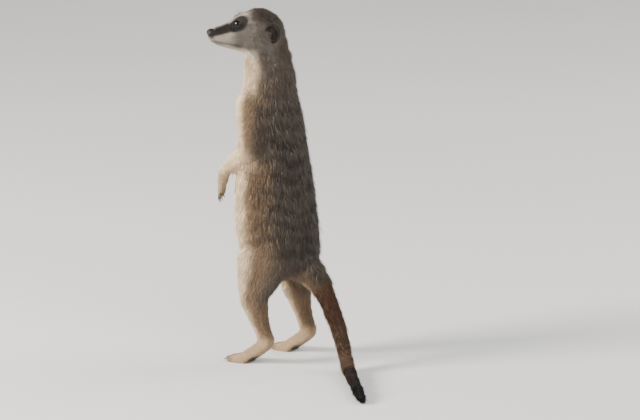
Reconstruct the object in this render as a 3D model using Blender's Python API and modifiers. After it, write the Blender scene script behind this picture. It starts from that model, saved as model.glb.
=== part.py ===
"""A meerkat standing upright on its hind feet: a still, life-size model.

The animal faces -Y, its left side is at +X, and it stands on Z = 0 on its toes and its tail.
The outline is that of the whole animal, out to the tips of its coat. The flesh is modelled
whole, in smooth runs of oval sections, and then parted with thin cuts into the pieces that a
person would name. Everything is in metres.
"""

import math

import bmesh
import bpy
from mathutils import Matrix, Vector

# ------------------------------------------------------------------ driving dimensions

GAP = 0.0003                # clear space between two neighbouring pieces
CRUMB = 0.001               # a loose speck smaller than this is dropped
VOXEL = 0.0014              # grain of the mesh that fuses the flesh
FLESH_TRIANGLES = 3000      # faces of the head, trunk, legs and tail together
ARM_TRIANGLES = 340         # faces of one foreleg
SHARP = math.radians(50)    # edges sharper than this stay crisp in the shading
REACH = 0.6                 # size of a cutting block, larger than the animal

HEAD_MIDDLE = Vector((0.002, -0.005, 0.288))
HEAD_TURN = math.radians(37)        # the head looks this far round to the animal's left
NOSE_BACK = 0.0462                  # where the nose pad begins, ahead of the head's middle
MOUTH_CORNER = Vector((0.0180, 0.0, -0.0138))
MOUTH_DOWN = Vector((0.148, 0.0, -0.989))
MOUTH_BACK = Vector((0.75, 0.0, 0.66))
THROAT = Vector((-0.0060, 0.0, -0.0255))
THROAT_WAY = Vector((0.50, 0.0, 0.86))

EYE_RADIUS = 0.0045
EYE_AHEAD, EYE_OUT, EYE_UP = 0.0234, 0.0108, 0.0058
EAR_AHEAD, EAR_OUT, EAR_UP = -0.0060, 0.0218, -0.0010
EAR_FLARE, EAR_TILT = math.radians(-17), math.radians(-8)   # its rear edge stands out
EAR_HALF_SIZES = (0.0064, 0.0025, 0.0083)
EAR_CUP_MIDDLE, EAR_CUP_HALF_SIZES = (0.0015, 0.0032, -0.0005), (0.0046, 0.0030, 0.0066)

TOES = 4
TOE_FAN = 0.09                      # how far each toe points outwards of the one beside it
KNUCKLE_RISE = 0.0006               # how far a toe arches up at its knuckle
HIND_TOE_ROOT = Vector((0.0, 0.0010, -0.0027))      # from the ball of the foot
HIND_TOE_SPREAD, HIND_TOE_LENGTH, HIND_TOE_RADIUS = 0.0045, 0.0160, 0.0032
FORE_TOE_SPREAD, FORE_TOE_LENGTH, FORE_TOE_RADIUS = 0.0034, 0.0115, 0.0023
CLAW_TIP = 0.0003                   # radius of a claw at its point
CLAW_ROOT = 0.22                    # share of a claw that is sunk in its toe
HIND_CLAW_LENGTH, HIND_CLAW_RADIUS, HIND_CLAW_BEND = 0.0070, 0.0013, (0.0, 0.0, -0.10)
FORE_CLAW_LENGTH, FORE_CLAW_RADIUS, FORE_CLAW_BEND = 0.0100, 0.0012, (0.0, 0.16, 0.0)

# Sections of the trunk: height, middle in Y, half width, half depth
TRUNK = (
    (0.0820, 0.0130, 0.0250, 0.0275),
    (0.0920, 0.0100, 0.0310, 0.0325),
    (0.1060, 0.0065, 0.0340, 0.0350),
    (0.1200, 0.0040, 0.0348, 0.0358),
    (0.1400, 0.0025, 0.0338, 0.0350),
    (0.1600, 0.0010, 0.0324, 0.0335),
    (0.1800, 0.0000, 0.0298, 0.0308),
    (0.2000, -0.0012, 0.0276, 0.0286),
    (0.2200, -0.0028, 0.0254, 0.0262),
    (0.2380, -0.0038, 0.0228, 0.0238),
    (0.2520, -0.0044, 0.0208, 0.0222),
    (0.2660, -0.0062, 0.0196, 0.0200),
    (0.2780, -0.0078, 0.0178, 0.0178),
)
TRUNK_DOME = 0.45                   # how far its ends bulge, as a share of a half ball

# Sections of the skull and snout, in the head's own frame: ahead, middle height, half width,
# half height
SKULL = (
    (0.0040, -0.0038, 0.0212, 0.0196),
    (0.0085, -0.0030, 0.0224, 0.0203),
    (0.0145, -0.0033, 0.0206, 0.0186),
    (0.0215, -0.0040, 0.0168, 0.0156),
    (0.0290, -0.0053, 0.0127, 0.0124),
    (0.0370, -0.0060, 0.0095, 0.0095),
    (0.0430, -0.0056, 0.0074, 0.0074),
    (0.0460, -0.0050, 0.0060, 0.0058),
)

# Sections of the lower jaw, in the head's own frame: ahead, middle height, half width,
# half height
JAW = (
    (0.0020, -0.0165, 0.0150, 0.0080),
    (0.0130, -0.0160, 0.0120, 0.0068),
    (0.0250, -0.0135, 0.0085, 0.0055),
    (0.0360, -0.0118, 0.0058, 0.0042),
    (0.0430, -0.0108, 0.0040, 0.0030),
)

# Balls of flesh on the head, in its own frame: middle (ahead, out, up) and half sizes
CHEEK = ((0.0050, 0.0128, -0.0095), (0.0155, 0.0105, 0.0115))
BROW = ((0.0195, 0.0092, 0.0058), (0.0090, 0.0072, 0.0066))
LIP_PAD = ((0.0390, 0.0042, -0.0080), (0.0085, 0.0046, 0.0048))
NOSE_PAD = ((0.0472, 0.0000, -0.0036), (0.0040, 0.0045, 0.0037))

# Sections of the left hind leg: place, half width, half depth
HIND_LEG = (
    ((0.0180, 0.0080, 0.1080), 0.0160, 0.0250),
    ((0.0210, 0.0050, 0.0900), 0.0155, 0.0252),
    ((0.0240, 0.0015, 0.0740), 0.0132, 0.0208),
    ((0.0258, -0.0005, 0.0590), 0.0107, 0.0143),
    ((0.0262, 0.0030, 0.0440), 0.0082, 0.0098),
    ((0.0258, 0.0085, 0.0300), 0.0064, 0.0073),
    ((0.0256, 0.0125, 0.0215), 0.0062, 0.0068),
)

# Sections of the left hind foot, from the heel to the ball of the toes
HIND_FOOT = (
    ((0.0256, 0.0125, 0.0205), 0.0060, 0.0066),
    ((0.0258, 0.0065, 0.0150), 0.0066, 0.0062),
    ((0.0262, -0.0008, 0.0095), 0.0074, 0.0057),
    ((0.0266, -0.0080, 0.0050), 0.0080, 0.0054),
)
RIGHT_FOOT_BACK = 0.007             # the right hind leg stands this far behind the left one
THIGH_TOP = 0.1
KNEE, KNEE_WAY = (0.0, 0.0, 0.056), (0.0, 0.0, -1.0)
HEEL, HEEL_WAY = (0.0, 0.0, 0.026), (0.0, 0.0, -1.0)

# Sections of the left foreleg: place, half width, half depth
FORELEG = (
    ((0.0165, -0.0070, 0.2380), 0.0062, 0.0090),
    ((0.0205, -0.0060, 0.2270), 0.0082, 0.0135),
    ((0.0250, -0.0035, 0.2120), 0.0084, 0.0130),
    ((0.0284, -0.0010, 0.2000), 0.0078, 0.0110),
    ((0.0298, 0.0000, 0.1925), 0.0072, 0.0095),
    ((0.0290, -0.0080, 0.1830), 0.0068, 0.0082),
    ((0.0245, -0.0220, 0.1745), 0.0060, 0.0068),
    ((0.0190, -0.0345, 0.1665), 0.0053, 0.0056),
    ((0.0158, -0.0405, 0.1600), 0.0054, 0.0048),
    ((0.0148, -0.0430, 0.1525), 0.0062, 0.0044),
)
ELBOW, ELBOW_WAY = Vector((0.0298, -0.0005, 0.1890)), (0.0, -0.62, -0.78)
WRIST, WRIST_WAY = Vector((0.0166, -0.0395, 0.1620)), Vector((-0.15, -0.45, -0.88))

# Sections of the tail, which drops to the floor and then lies along it
TAIL = (
    ((0.0000, 0.0290, 0.0910), 0.0160, 0.0165),
    ((0.0000, 0.0440, 0.0785), 0.0112, 0.0118),
    ((-0.0010, 0.0555, 0.0620), 0.0084, 0.0088),
    ((-0.0020, 0.0640, 0.0440), 0.0073, 0.0075),
    ((-0.0020, 0.0705, 0.0270), 0.0067, 0.0068),
    ((0.0015, 0.0775, 0.0130), 0.0063, 0.0064),
    ((0.0100, 0.0865, 0.0066), 0.0060, 0.0061),
    ((0.0230, 0.0985, 0.0055), 0.0057, 0.0058),
    ((0.0380, 0.1125, 0.0050), 0.0053, 0.0054),
    ((0.0530, 0.1265, 0.0046), 0.0049, 0.0049),
    ((0.0660, 0.1390, 0.0040), 0.0043, 0.0043),
    ((0.0750, 0.1480, 0.0031), 0.0033, 0.0034),
)
RUMP = (0.0, 0.036, 0.0)            # the tail is behind this, the feet are ahead of it

# Where the tail is parted into lengths: place and direction of the tail there
TAIL_CUTS = (
    ("tail_root", (0.0000, 0.0470, 0.0745), (-0.05, 0.55, -0.83)),
    ("tail_upper", (-0.0020, 0.0650, 0.0410), (-0.02, 0.37, -0.93)),
    ("tail_lower", (0.0120, 0.0885, 0.0062), (0.70, 0.71, -0.1)),
    ("tail_tip", (0.0530, 0.1265, 0.0046), (0.72, 0.69, 0.0)),
)

# Where the trunk is parted
UP = (0.0, 0.0, 1.0)
SHOULDER, BREAST, WAIST = (0.0, 0.0, 0.236), (0.0, 0.0, 0.168), (0.0, 0.0, 0.112)
GROIN, GROIN_WAY = (0.003, 0.070), (0.81, -0.59)    # across and up


# ------------------------------------------------------------------------- the workshop

def clear_scene():
    """Start from an empty file."""
    for thing in list(bpy.data.objects):
        bpy.data.objects.remove(thing, do_unlink=True)


def collection(name):
    """A new collection, linked to the scene."""
    group = bpy.data.collections.new(name)
    bpy.context.scene.collection.children.link(group)
    return group


def material(name, colour, roughness):
    """A plain Principled material."""
    made = bpy.data.materials.new(name)
    made.use_nodes = True
    shader = made.node_tree.nodes["Principled BSDF"]
    shader.inputs["Base Color"].default_value = (*colour, 1.0)
    shader.inputs["Roughness"].default_value = roughness
    shader.inputs["Metallic"].default_value = 0.0
    made.diffuse_color = (*colour, 1.0)
    return made


def keep(name, bm, group):
    """Turn a finished bmesh into an object with its faces pointing out."""
    bmesh.ops.recalc_face_normals(bm, faces=bm.faces[:])
    mesh = bpy.data.meshes.new(name)
    bm.to_mesh(mesh)
    bm.free()
    thing = bpy.data.objects.new(name, mesh)
    group.objects.link(thing)
    return thing


def smooth_run(stations, steps):
    """Read a smooth curve through rows of numbers, with so many steps between two rows."""
    rows = [stations[0], *stations, stations[-1]]
    run = []
    for before, here, after, later in zip(rows, rows[1:], rows[2:], rows[3:]):
        for step in range(steps):
            t = step / steps
            row = []
            for a, b, c, d in zip(before, here, after, later):
                bend = (2 * a - 5 * b + 4 * c - d) * t * t + (3 * b - a - 3 * c + d) * t ** 3
                row.append(0.5 * (2 * b + (c - a) * t + bend))
            run.append(row)
    run.append(list(stations[-1]))
    return run


def flat_rows(sections):
    """Turn rows of (place, half width, half depth) into plain rows of numbers."""
    return [(*place, wide, deep) for place, wide, deep in sections]


def tube(bm, sections, side, steps=4, sides=20, dome=(0.35, 0.65, 0.87, 0.975), flatten=1.0):
    """Skin a run of oval sections, with domed ends; side is the way of their width."""
    run = smooth_run(flat_rows(sections), steps)
    places = [Vector(row[:3]) for row in run]
    first = (places[1] - places[0]).normalized()
    last = (places[-1] - places[-2]).normalized()
    rings = []
    for end, way in ((0, -first), (-1, last)):
        wide, deep = run[end][3:]
        cap = []
        for part in dome:
            shrink = math.sqrt(1 - part * part)
            rise = min(wide, deep) * part * flatten
            cap.append((places[end] + way * rise, wide * shrink, deep * shrink))
        rings.append(cap)
    whole = rings[0][::-1]
    whole += [(place, *row[3:]) for place, row in zip(places, run)]
    whole += rings[1]
    loops = []
    for index, (place, wide, deep) in enumerate(whole):
        before = whole[max(index - 1, 0)][0]
        after = whole[min(index + 1, len(whole) - 1)][0]
        ahead = (after - before).normalized()
        across = (side - ahead * side.dot(ahead)).normalized()
        turn = Matrix((across, ahead.cross(across), ahead)).transposed().to_4x4()
        frame = Matrix.Translation(place) @ turn @ Matrix.Diagonal((wide, deep, 1.0, 1.0))
        ring = bmesh.ops.create_circle(bm, cap_ends=False, segments=sides, radius=1.0, matrix=frame)
        corners = ring["verts"]
        loops.append([corners[i] for i in range(sides)])
    for near, far in zip(loops, loops[1:]):
        edges = {e for v in near + far for e in v.link_edges}
        rims = [e for e in edges if len(e.link_faces) < 2 and is_rim(e, near, far)]
        bmesh.ops.bridge_loops(bm, edges=rims)
    for loop in (loops[0], loops[-1]):
        bmesh.ops.contextual_create(bm, geom=loop)


def is_rim(edge, near, far):
    """Whether an edge lies wholly on one of two rings."""
    ends = set(edge.verts)
    return ends <= set(near) or ends <= set(far)


def ball(bm, frame, middle, sizes):
    """Add an oval ball."""
    place = frame @ Matrix.Translation(middle) @ Matrix.Diagonal((*sizes, 1.0))
    bmesh.ops.create_uvsphere(bm, u_segments=12, v_segments=8, radius=1.0, matrix=place)


def evaluated(thing):
    """Replace an object's mesh by what its modifiers make of it."""
    bpy.context.view_layer.update()
    graph = bpy.context.evaluated_depsgraph_get()
    mesh = bpy.data.meshes.new_from_object(thing.evaluated_get(graph))
    thing.modifiers.clear()
    thing.data = mesh


def fuse(thing, triangles):
    """Melt overlapping closed shapes into one smooth skin of so many triangles."""
    remesh = thing.modifiers.new("fuse", "REMESH")
    remesh.mode = "VOXEL"
    remesh.voxel_size = VOXEL
    soften = thing.modifiers.new("soften", "SMOOTH")
    soften.factor = 0.5
    soften.iterations = 6
    evaluated(thing)
    thing.data.calc_loop_triangles()
    thin = thing.modifiers.new("thin_out", "DECIMATE")
    thin.ratio = triangles / len(thing.data.loop_triangles)
    thin.use_collapse_triangulate = True
    evaluated(thing)


def boolean(thing, tool, operation):
    """Cut or join one mesh with another, exactly."""
    cut = thing.modifiers.new("cut", "BOOLEAN")
    cut.operation = operation
    cut.solver = "EXACT"
    cut.object = tool
    evaluated(thing)


def hidden(thing):
    """Mark a shape as a tool, which is no part of the model."""
    thing.hide_render = True
    thing.display_type = "WIRE"
    return thing


def wedge(name, planes, margin, cutters):
    """The space that lies beyond every one of some planes, with a margin all round."""
    bm = bmesh.new()
    bmesh.ops.create_cube(bm, size=REACH * 2)
    for place, way in planes:
        way = Vector(way).normalized()
        everything = bm.verts[:] + bm.edges[:] + bm.faces[:]
        cut = bmesh.ops.bisect_plane(bm, geom=everything, dist=1e-6, clear_inner=True,
                                     plane_co=Vector(place) - way * margin, plane_no=way)
        rim = [item for item in cut["geom_cut"] if isinstance(item, bmesh.types.BMEdge)]
        bmesh.ops.contextual_create(bm, geom=rim)
    return hidden(keep(name, bm, cutters))


def copy_of(thing, name, group):
    """A copy with a mesh of its own."""
    twin = bpy.data.objects.new(name, thing.data.copy())
    group.objects.link(twin)
    return twin


def part_off(body, name, planes, group, cutters):
    """Part off what lies beyond some planes, and leave a gap between it and the rest."""
    piece = copy_of(body, name, group)
    boolean(piece, wedge(name + "_block", planes, 0.0, cutters), "INTERSECT")
    boolean(body, wedge(name + "_clear", planes, GAP, cutters), "DIFFERENCE")
    return piece


def head_frame():
    """The head's own frame: X ahead, Y to the animal's left, Z up."""
    ahead = Vector((math.sin(HEAD_TURN), -math.cos(HEAD_TURN), 0.0))
    left = Vector((math.cos(HEAD_TURN), math.sin(HEAD_TURN), 0.0))
    turn = Matrix((ahead, left, Vector((0.0, 0.0, 1.0)))).transposed().to_4x4()
    return Matrix.Translation(HEAD_MIDDLE) @ turn


def on_side(sections, hand):
    """The same sections on the animal's left side, where hand is 1, or on its right."""
    return [((x * hand, y, z), wide, deep) for (x, y, z), wide, deep in sections]


# ----------------------------------------------------------------------------- the flesh

def head_tubes(bm, frame):
    """Skull, snout and jaw, as runs of sections along the head."""
    side = frame.to_3x3() @ Vector((0.0, 1.0, 0.0))
    for rows in (SKULL, JAW):
        run = [(frame @ Vector((ahead, 0.0, up)), wide, tall) for ahead, up, wide, tall in rows]
        tube(bm, run, side)
    for middle, sizes in (CHEEK, BROW, LIP_PAD, NOSE_PAD):
        for hand in (1, -1):
            ball(bm, frame, Vector((middle[0], middle[1] * hand, middle[2])), sizes)


def toes(bm, root, ahead, across, spread, length, radius):
    """A fan of toes, and the places and directions of their tips."""
    tips = []
    for index in range(TOES):
        seat = index - (TOES - 1) / 2
        way = (ahead + across * TOE_FAN * seat).normalized()
        reach = length * (1.0 - 0.06 * seat ** 2)
        base = root + across * spread * seat * 0.9
        knuckle = base + way * reach * 0.5 + Vector((0.0, 0.0, KNUCKLE_RISE))
        tip = base + way * reach + across * spread * seat * 0.12
        rows = ((base, radius, radius), (knuckle, radius * 1.05, radius),
                (tip, radius * 0.86, radius * 0.9))
        tube(bm, rows, across, steps=2, sides=12)
        tips.append((tip, way))
    return tips


def hind_leg(bm, hand):
    """A hind leg with its foot; returns its toes' tips."""
    back = 0.0 if hand > 0 else RIGHT_FOOT_BACK
    leg = []
    for (x, y, z), wide, deep in HIND_LEG:
        share = min(1.0, max(0.0, (THIGH_TOP - z) / (THIGH_TOP - KNEE[2])))
        leg.append(((x * hand, y + back * share, z), wide, deep))
    foot = [((x * hand, y + back, z), wide, deep) for (x, y, z), wide, deep in HIND_FOOT]
    tube(bm, leg, Vector((1.0, 0.0, 0.0)))
    tube(bm, foot, Vector((1.0, 0.0, 0.0)))
    root = Vector(foot[-1][0]) + HIND_TOE_ROOT
    ahead = Vector((0.05 * hand, -1.0, 0.0)).normalized()
    return toes(bm, root, ahead, Vector((1.0, 0.0, 0.0)), HIND_TOE_SPREAD, HIND_TOE_LENGTH,
                HIND_TOE_RADIUS)


def foreleg(bm, hand):
    """A foreleg with its paw; returns its toes' tips."""
    arm = on_side(FORELEG, hand)
    across = Vector((0.94, 0.34 * hand, 0.0)).normalized()
    tube(bm, arm, across)
    root = Vector(arm[-1][0])
    down = Vector((-0.05 * hand, -0.16, -1.0)).normalized()
    return toes(bm, root, down, across, FORE_TOE_SPREAD, FORE_TOE_LENGTH, FORE_TOE_RADIUS)


def claw(name, tip, way, length, radius, droop, group):
    """One claw, curved and pointed, rooted inside the end of its toe."""
    bm = bmesh.new()
    rows = []
    for step in range(4):
        t = step / 3
        place = tip + way * length * (t - CLAW_ROOT) + Vector(droop) * length * t * t
        thick = radius * (1 - t) + CLAW_TIP * t
        rows.append((place, thick, thick * 1.15))
    across = way.cross(Vector((0.0, 0.3, 1.0))).normalized()
    tube(bm, rows, across, steps=1, sides=6, dome=())
    return keep(name, bm, group)


def flesh(group):
    """Head, neck, trunk, tail and hind legs as one skin, and the tips of the hind toes."""
    bm = bmesh.new()
    trunk = [((0.0, y, z), wide, deep) for z, y, wide, deep in TRUNK]
    tube(bm, trunk, Vector((1.0, 0.0, 0.0)), flatten=TRUNK_DOME)
    head_tubes(bm, head_frame())
    tube(bm, TAIL, Vector((1.0, -0.6, 0.0)).normalized(), sides=16)
    tips = {hand: hind_leg(bm, hand) for hand in (1, -1)}
    body = keep("flesh", bm, group)
    fuse(body, FLESH_TRIANGLES)
    return body, tips


def arm(name, hand, group):
    """A foreleg as a skin of its own, and the tips of its toes."""
    bm = bmesh.new()
    tips = foreleg(bm, hand)
    thing = keep(name, bm, group)
    fuse(thing, ARM_TRIANGLES)
    return thing, tips


def grown(thing, name, margin, group):
    """A copy of a shape, larger by a margin on every side."""
    twin = copy_of(thing, name, group)
    swell = twin.modifiers.new("swell", "DISPLACE")
    swell.strength = margin
    swell.mid_level = 0.0
    evaluated(twin)
    return hidden(twin)


def level_floor(thing, cutters):
    """Cut a shape flat where it meets the floor."""
    below = wedge("below_" + thing.name, [((0.0, 0.0, 0.0), (0.0, 0.0, -1.0))], 0.0, cutters)
    boolean(thing, below, "DIFFERENCE")


def add_claws(paw, tips, length, radius, droop, cutters):
    """Join claws to the toes that they grow from."""
    for index, (tip, way) in enumerate(tips):
        one = claw(f"{paw.name}_claw_{index + 1}", tip, way, length, radius, droop, cutters)
        boolean(paw, hidden(one), "UNION")


# --------------------------------------------------------------------------- the pieces

def eye(name, hand, group, cutters, head):
    """An eyeball in a socket of its own."""
    frame = head_frame()
    middle = Vector((EYE_AHEAD, EYE_OUT * hand, EYE_UP))
    bm = bmesh.new()
    ball(bm, frame, middle, (EYE_RADIUS, EYE_RADIUS, EYE_RADIUS))
    thing = keep(name, bm, group)
    bm = bmesh.new()
    socket = EYE_RADIUS + GAP
    ball(bm, frame, middle, (socket, socket, socket))
    boolean(head, hidden(keep(name + "_socket", bm, cutters)), "DIFFERENCE")
    return thing


def ear(name, hand, group, cutters, head):
    """A small rounded ear, cupped at its front, set low on the side of the head."""
    place = head_frame() @ Matrix.Translation((EAR_AHEAD, EAR_OUT * hand, EAR_UP))
    place = place @ Matrix.Rotation(EAR_FLARE * hand, 4, "Z")
    place = place @ Matrix.Rotation(EAR_TILT * hand, 4, "X")
    bm = bmesh.new()
    ball(bm, place, (0.0, 0.0, 0.0), EAR_HALF_SIZES)
    thing = keep(name, bm, group)
    bm = bmesh.new()
    ahead, out, up = EAR_CUP_MIDDLE
    ball(bm, place, (ahead, out * hand, up), EAR_CUP_HALF_SIZES)
    boolean(thing, hidden(keep(name + "_cup", bm, cutters)), "DIFFERENCE")
    boolean(head, grown(thing, name + "_root", GAP, cutters), "DIFFERENCE")
    return thing


def split_leg(thigh, side, tips, group, cutters):
    """Part a hind leg at the knee and above the heel, and give its foot claws."""
    shank = part_off(thigh, "shank_" + side, [(KNEE, KNEE_WAY)], group, cutters)
    foot = part_off(shank, "hind_foot_" + side, [(HEEL, HEEL_WAY)], group, cutters)
    add_claws(foot, tips, HIND_CLAW_LENGTH, HIND_CLAW_RADIUS, HIND_CLAW_BEND, cutters)
    level_floor(foot, cutters)
    return shank, foot


def split_arm(upper, side, tips, group, cutters):
    """Part a foreleg at the elbow and the wrist, and give its paw claws."""
    flip = Vector((1.0 if side == "left" else -1.0, 1.0, 1.0))
    lower = part_off(upper, "forearm_" + side, [(ELBOW * flip, ELBOW_WAY)], group, cutters)
    paw = part_off(lower, "forepaw_" + side, [(WRIST * flip, WRIST_WAY * flip)], group, cutters)
    add_claws(paw, tips, FORE_CLAW_LENGTH, FORE_CLAW_RADIUS, FORE_CLAW_BEND, cutters)
    return lower, paw


def split_head(head, group, cutters):
    """Part the lower jaw and the nose pad off the head, and set in its eyes and ears."""
    frame = head_frame()
    turn = frame.to_3x3()
    mouth = (frame @ MOUTH_CORNER, turn @ MOUTH_DOWN)
    behind = (frame @ MOUTH_CORNER, turn @ MOUTH_BACK)
    made = {"lower_jaw": part_off(head, "lower_jaw", [mouth, behind], group, cutters)}
    tip = (frame @ Vector((NOSE_BACK, 0.0, 0.0)), turn @ Vector((1.0, 0.0, 0.0)))
    made["nose"] = part_off(head, "nose", [tip], group, cutters)
    for side, hand in (("left", 1), ("right", -1)):
        made["eye_" + side] = eye("eye_" + side, hand, group, cutters, head)
        made["ear_" + side] = ear("ear_" + side, hand, group, cutters, head)
    return made


def build():
    """Model the meerkat, part it, give the pieces their colours and stand it on its origin."""
    clear_scene()
    group = collection("meerkat")
    cutters = collection("meerkat_cutters")

    body, hind_tips = flesh(group)
    level_floor(body, cutters)

    pieces = {}
    rest = body
    for name, place, way in TAIL_CUTS:
        rest = part_off(rest, name, [(place, way), (RUMP, (0.0, 1.0, 0.0))], group, cutters)
        pieces[name] = rest

    frame = head_frame()
    throat = (frame @ THROAT, frame.to_3x3() @ THROAT_WAY)
    pieces["head"] = part_off(body, "head", [throat], group, cutters)
    pieces["neck"] = part_off(body, "neck", [(SHOULDER, UP)], group, cutters)

    for side, hand in (("left", 1), ("right", -1)):
        groin = ((GROIN[0] * hand, 0.0, GROIN[1]), (GROIN_WAY[0] * hand, 0.0, GROIN_WAY[1]))
        inner = ((0.0, 0.0, 0.0), (hand, 0.0, 0.0))
        thigh = part_off(body, "thigh_" + side, [groin, inner], group, cutters)
        shank, foot = split_leg(thigh, side, hind_tips[hand], group, cutters)
        pieces["thigh_" + side] = thigh
        pieces["shank_" + side] = shank
        pieces["hind_foot_" + side] = foot

    for side, hand in (("left", 1), ("right", -1)):
        upper, tips = arm("upper_arm_" + side, hand, group)
        bed = grown(upper, "bed_" + side, GAP, cutters)
        boolean(body, bed, "DIFFERENCE")
        boolean(pieces["neck"], bed, "DIFFERENCE")
        lower, paw = split_arm(upper, side, tips, group, cutters)
        pieces["upper_arm_" + side] = upper
        pieces["forearm_" + side] = lower
        pieces["forepaw_" + side] = paw

    pieces["chest"] = part_off(body, "chest", [(BREAST, UP)], group, cutters)
    pieces["belly"] = part_off(body, "belly", [(WAIST, UP)], group, cutters)
    body.name = "hips"
    pieces["hips"] = body
    pieces.update(split_head(pieces["head"], group, cutters))

    colours = {
        "pale": material("pale_fur", (0.62, 0.52, 0.40), 0.9),
        "back": material("grey_brown_fur", (0.30, 0.24, 0.17), 0.9),
        "rust": material("rufous_fur", (0.33, 0.19, 0.10), 0.9),
        "black": material("black_fur", (0.03, 0.025, 0.02), 0.85),
        "eye": material("dark_eye", (0.02, 0.012, 0.008), 0.15),
        "nose": material("nose_skin", (0.03, 0.025, 0.022), 0.5),
    }
    coats = {"eye": "eye", "ear": "black", "nose": "nose", "tail_tip": "black",
             "tail": "rust", "chest": "back", "belly": "back", "hips": "back", "neck": "back"}
    for name, piece in pieces.items():
        kind = next((coats[key] for key in coats if name.startswith(key)), "pale")
        piece.data.materials.clear()
        piece.data.materials.append(colours[kind])
        piece.name = name
        drop_crumbs(piece)
    stand_on_origin(pieces.values())


def drop_crumbs(piece):
    """Delete specks that a cut has left loose beside a piece."""
    bm = bmesh.new()
    bm.from_mesh(piece.data)
    left = set(bm.verts)
    while left:
        island, edge = set(), {left.pop()}
        while edge:
            island |= edge
            edge = {e.other_vert(v) for v in edge for e in v.link_edges} - island
        left -= island
        spread = [max(v.co[axis] for v in island) - min(v.co[axis] for v in island)
                  for axis in range(3)]
        if max(spread) < CRUMB:
            bmesh.ops.delete(bm, geom=list(island), context="VERTS")
    bm.to_mesh(piece.data)
    bm.free()


def stand_on_origin(pieces):
    """Move the pieces so that the origin is in the middle of the bottom of their box."""
    corners = [v.co for piece in pieces for v in piece.data.vertices]
    low = Vector([min(c[axis] for c in corners) for axis in range(3)])
    high = Vector([max(c[axis] for c in corners) for axis in range(3)])
    shift = Vector((-(low.x + high.x) / 2, -(low.y + high.y) / 2, 0.0))
    for piece in pieces:
        piece.data.transform(Matrix.Translation(shift))
        piece.data.shade_smooth()
        piece.data.set_sharp_from_angle(angle=SHARP)


build()
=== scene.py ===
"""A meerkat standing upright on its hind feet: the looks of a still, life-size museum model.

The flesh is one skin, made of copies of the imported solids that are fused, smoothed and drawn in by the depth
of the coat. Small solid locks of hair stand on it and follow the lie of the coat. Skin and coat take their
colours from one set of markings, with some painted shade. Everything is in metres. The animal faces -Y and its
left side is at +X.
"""

import math

import bmesh
import bpy
import numpy as np
from mathutils import Matrix, Vector, noise
from mathutils.bvhtree import BVHTree
from mathutils.kdtree import KDTree


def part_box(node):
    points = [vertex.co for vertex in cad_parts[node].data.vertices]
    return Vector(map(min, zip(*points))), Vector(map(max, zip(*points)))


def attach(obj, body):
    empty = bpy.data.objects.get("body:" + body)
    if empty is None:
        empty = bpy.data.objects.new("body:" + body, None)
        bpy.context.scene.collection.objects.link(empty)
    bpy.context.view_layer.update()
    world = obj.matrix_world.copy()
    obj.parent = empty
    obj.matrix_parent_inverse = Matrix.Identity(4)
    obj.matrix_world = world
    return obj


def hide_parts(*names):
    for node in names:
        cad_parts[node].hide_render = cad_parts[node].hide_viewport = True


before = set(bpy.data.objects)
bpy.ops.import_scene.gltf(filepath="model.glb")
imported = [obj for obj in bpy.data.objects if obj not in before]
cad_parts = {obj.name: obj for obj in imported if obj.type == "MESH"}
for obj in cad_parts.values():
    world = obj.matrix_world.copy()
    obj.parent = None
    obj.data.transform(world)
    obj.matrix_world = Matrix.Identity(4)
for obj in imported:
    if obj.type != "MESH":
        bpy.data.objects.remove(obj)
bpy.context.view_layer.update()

MM = 0.001
FULL_TURN = 2 * math.pi
SIDES = {"left": 1, "right": -1}


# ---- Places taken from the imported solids

def unit(way):
    """One direction, or rows of them, at a length of one."""
    way = np.asarray(way, float)
    return way / np.maximum(np.linalg.norm(way, axis=-1, keepdims=True), 1e-12)


def corners_of(node):
    """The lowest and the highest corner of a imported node's box."""
    low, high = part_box(node)
    return np.array(low), np.array(high)


def middle(node):
    """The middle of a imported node's box."""
    low, high = corners_of(node)
    return (low + high) / 2


def in_box(places, node, cut=0.0):
    """Which places are in a node's box or close beside it; its rear may be cut off."""
    low, high = corners_of(node)
    high[1] -= cut
    return ((places > low - MM) & (places < high + MM)).all(axis=1)


UP = np.array((0.0, 0.0, 1.0))
DOWN = -UP
EYES = {side: middle("eye_" + side) for side in SIDES}
EYE_RADIUS = float(np.ptp(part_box("eye_left"), axis=0)[2]) / 2
LEFT = unit(EYES["left"] - EYES["right"])
AHEAD = np.cross(LEFT, UP)
HEAD_AXES = np.array((AHEAD, LEFT, UP))
EYE_AHEAD, EYE_UP = 0.0234, 0.0058  # the eyes, from the middle of the head
HEAD_MIDDLE = (EYES["left"] + EYES["right"]) / 2 - AHEAD * EYE_AHEAD - UP * EYE_UP
MOUTH_START = 0.0180  # the corner of the mouth, along the head
MOUTH_UP, MOUTH_RISE = -0.0138, 0.150  # its height there, and how the line of the mouth climbs


def in_head(places):
    """Places seen from the head: ahead, to its left, up."""
    return (places - HEAD_MIDDLE) @ HEAD_AXES.T


def from_head(local):
    """Places given in the head's own frame."""
    return HEAD_MIDDLE + np.asarray(local) @ HEAD_AXES


def away_from(places, spot):
    """How far each place is from one spot."""
    return np.linalg.norm(places - spot, axis=1)


# ---- The coat's table

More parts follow.
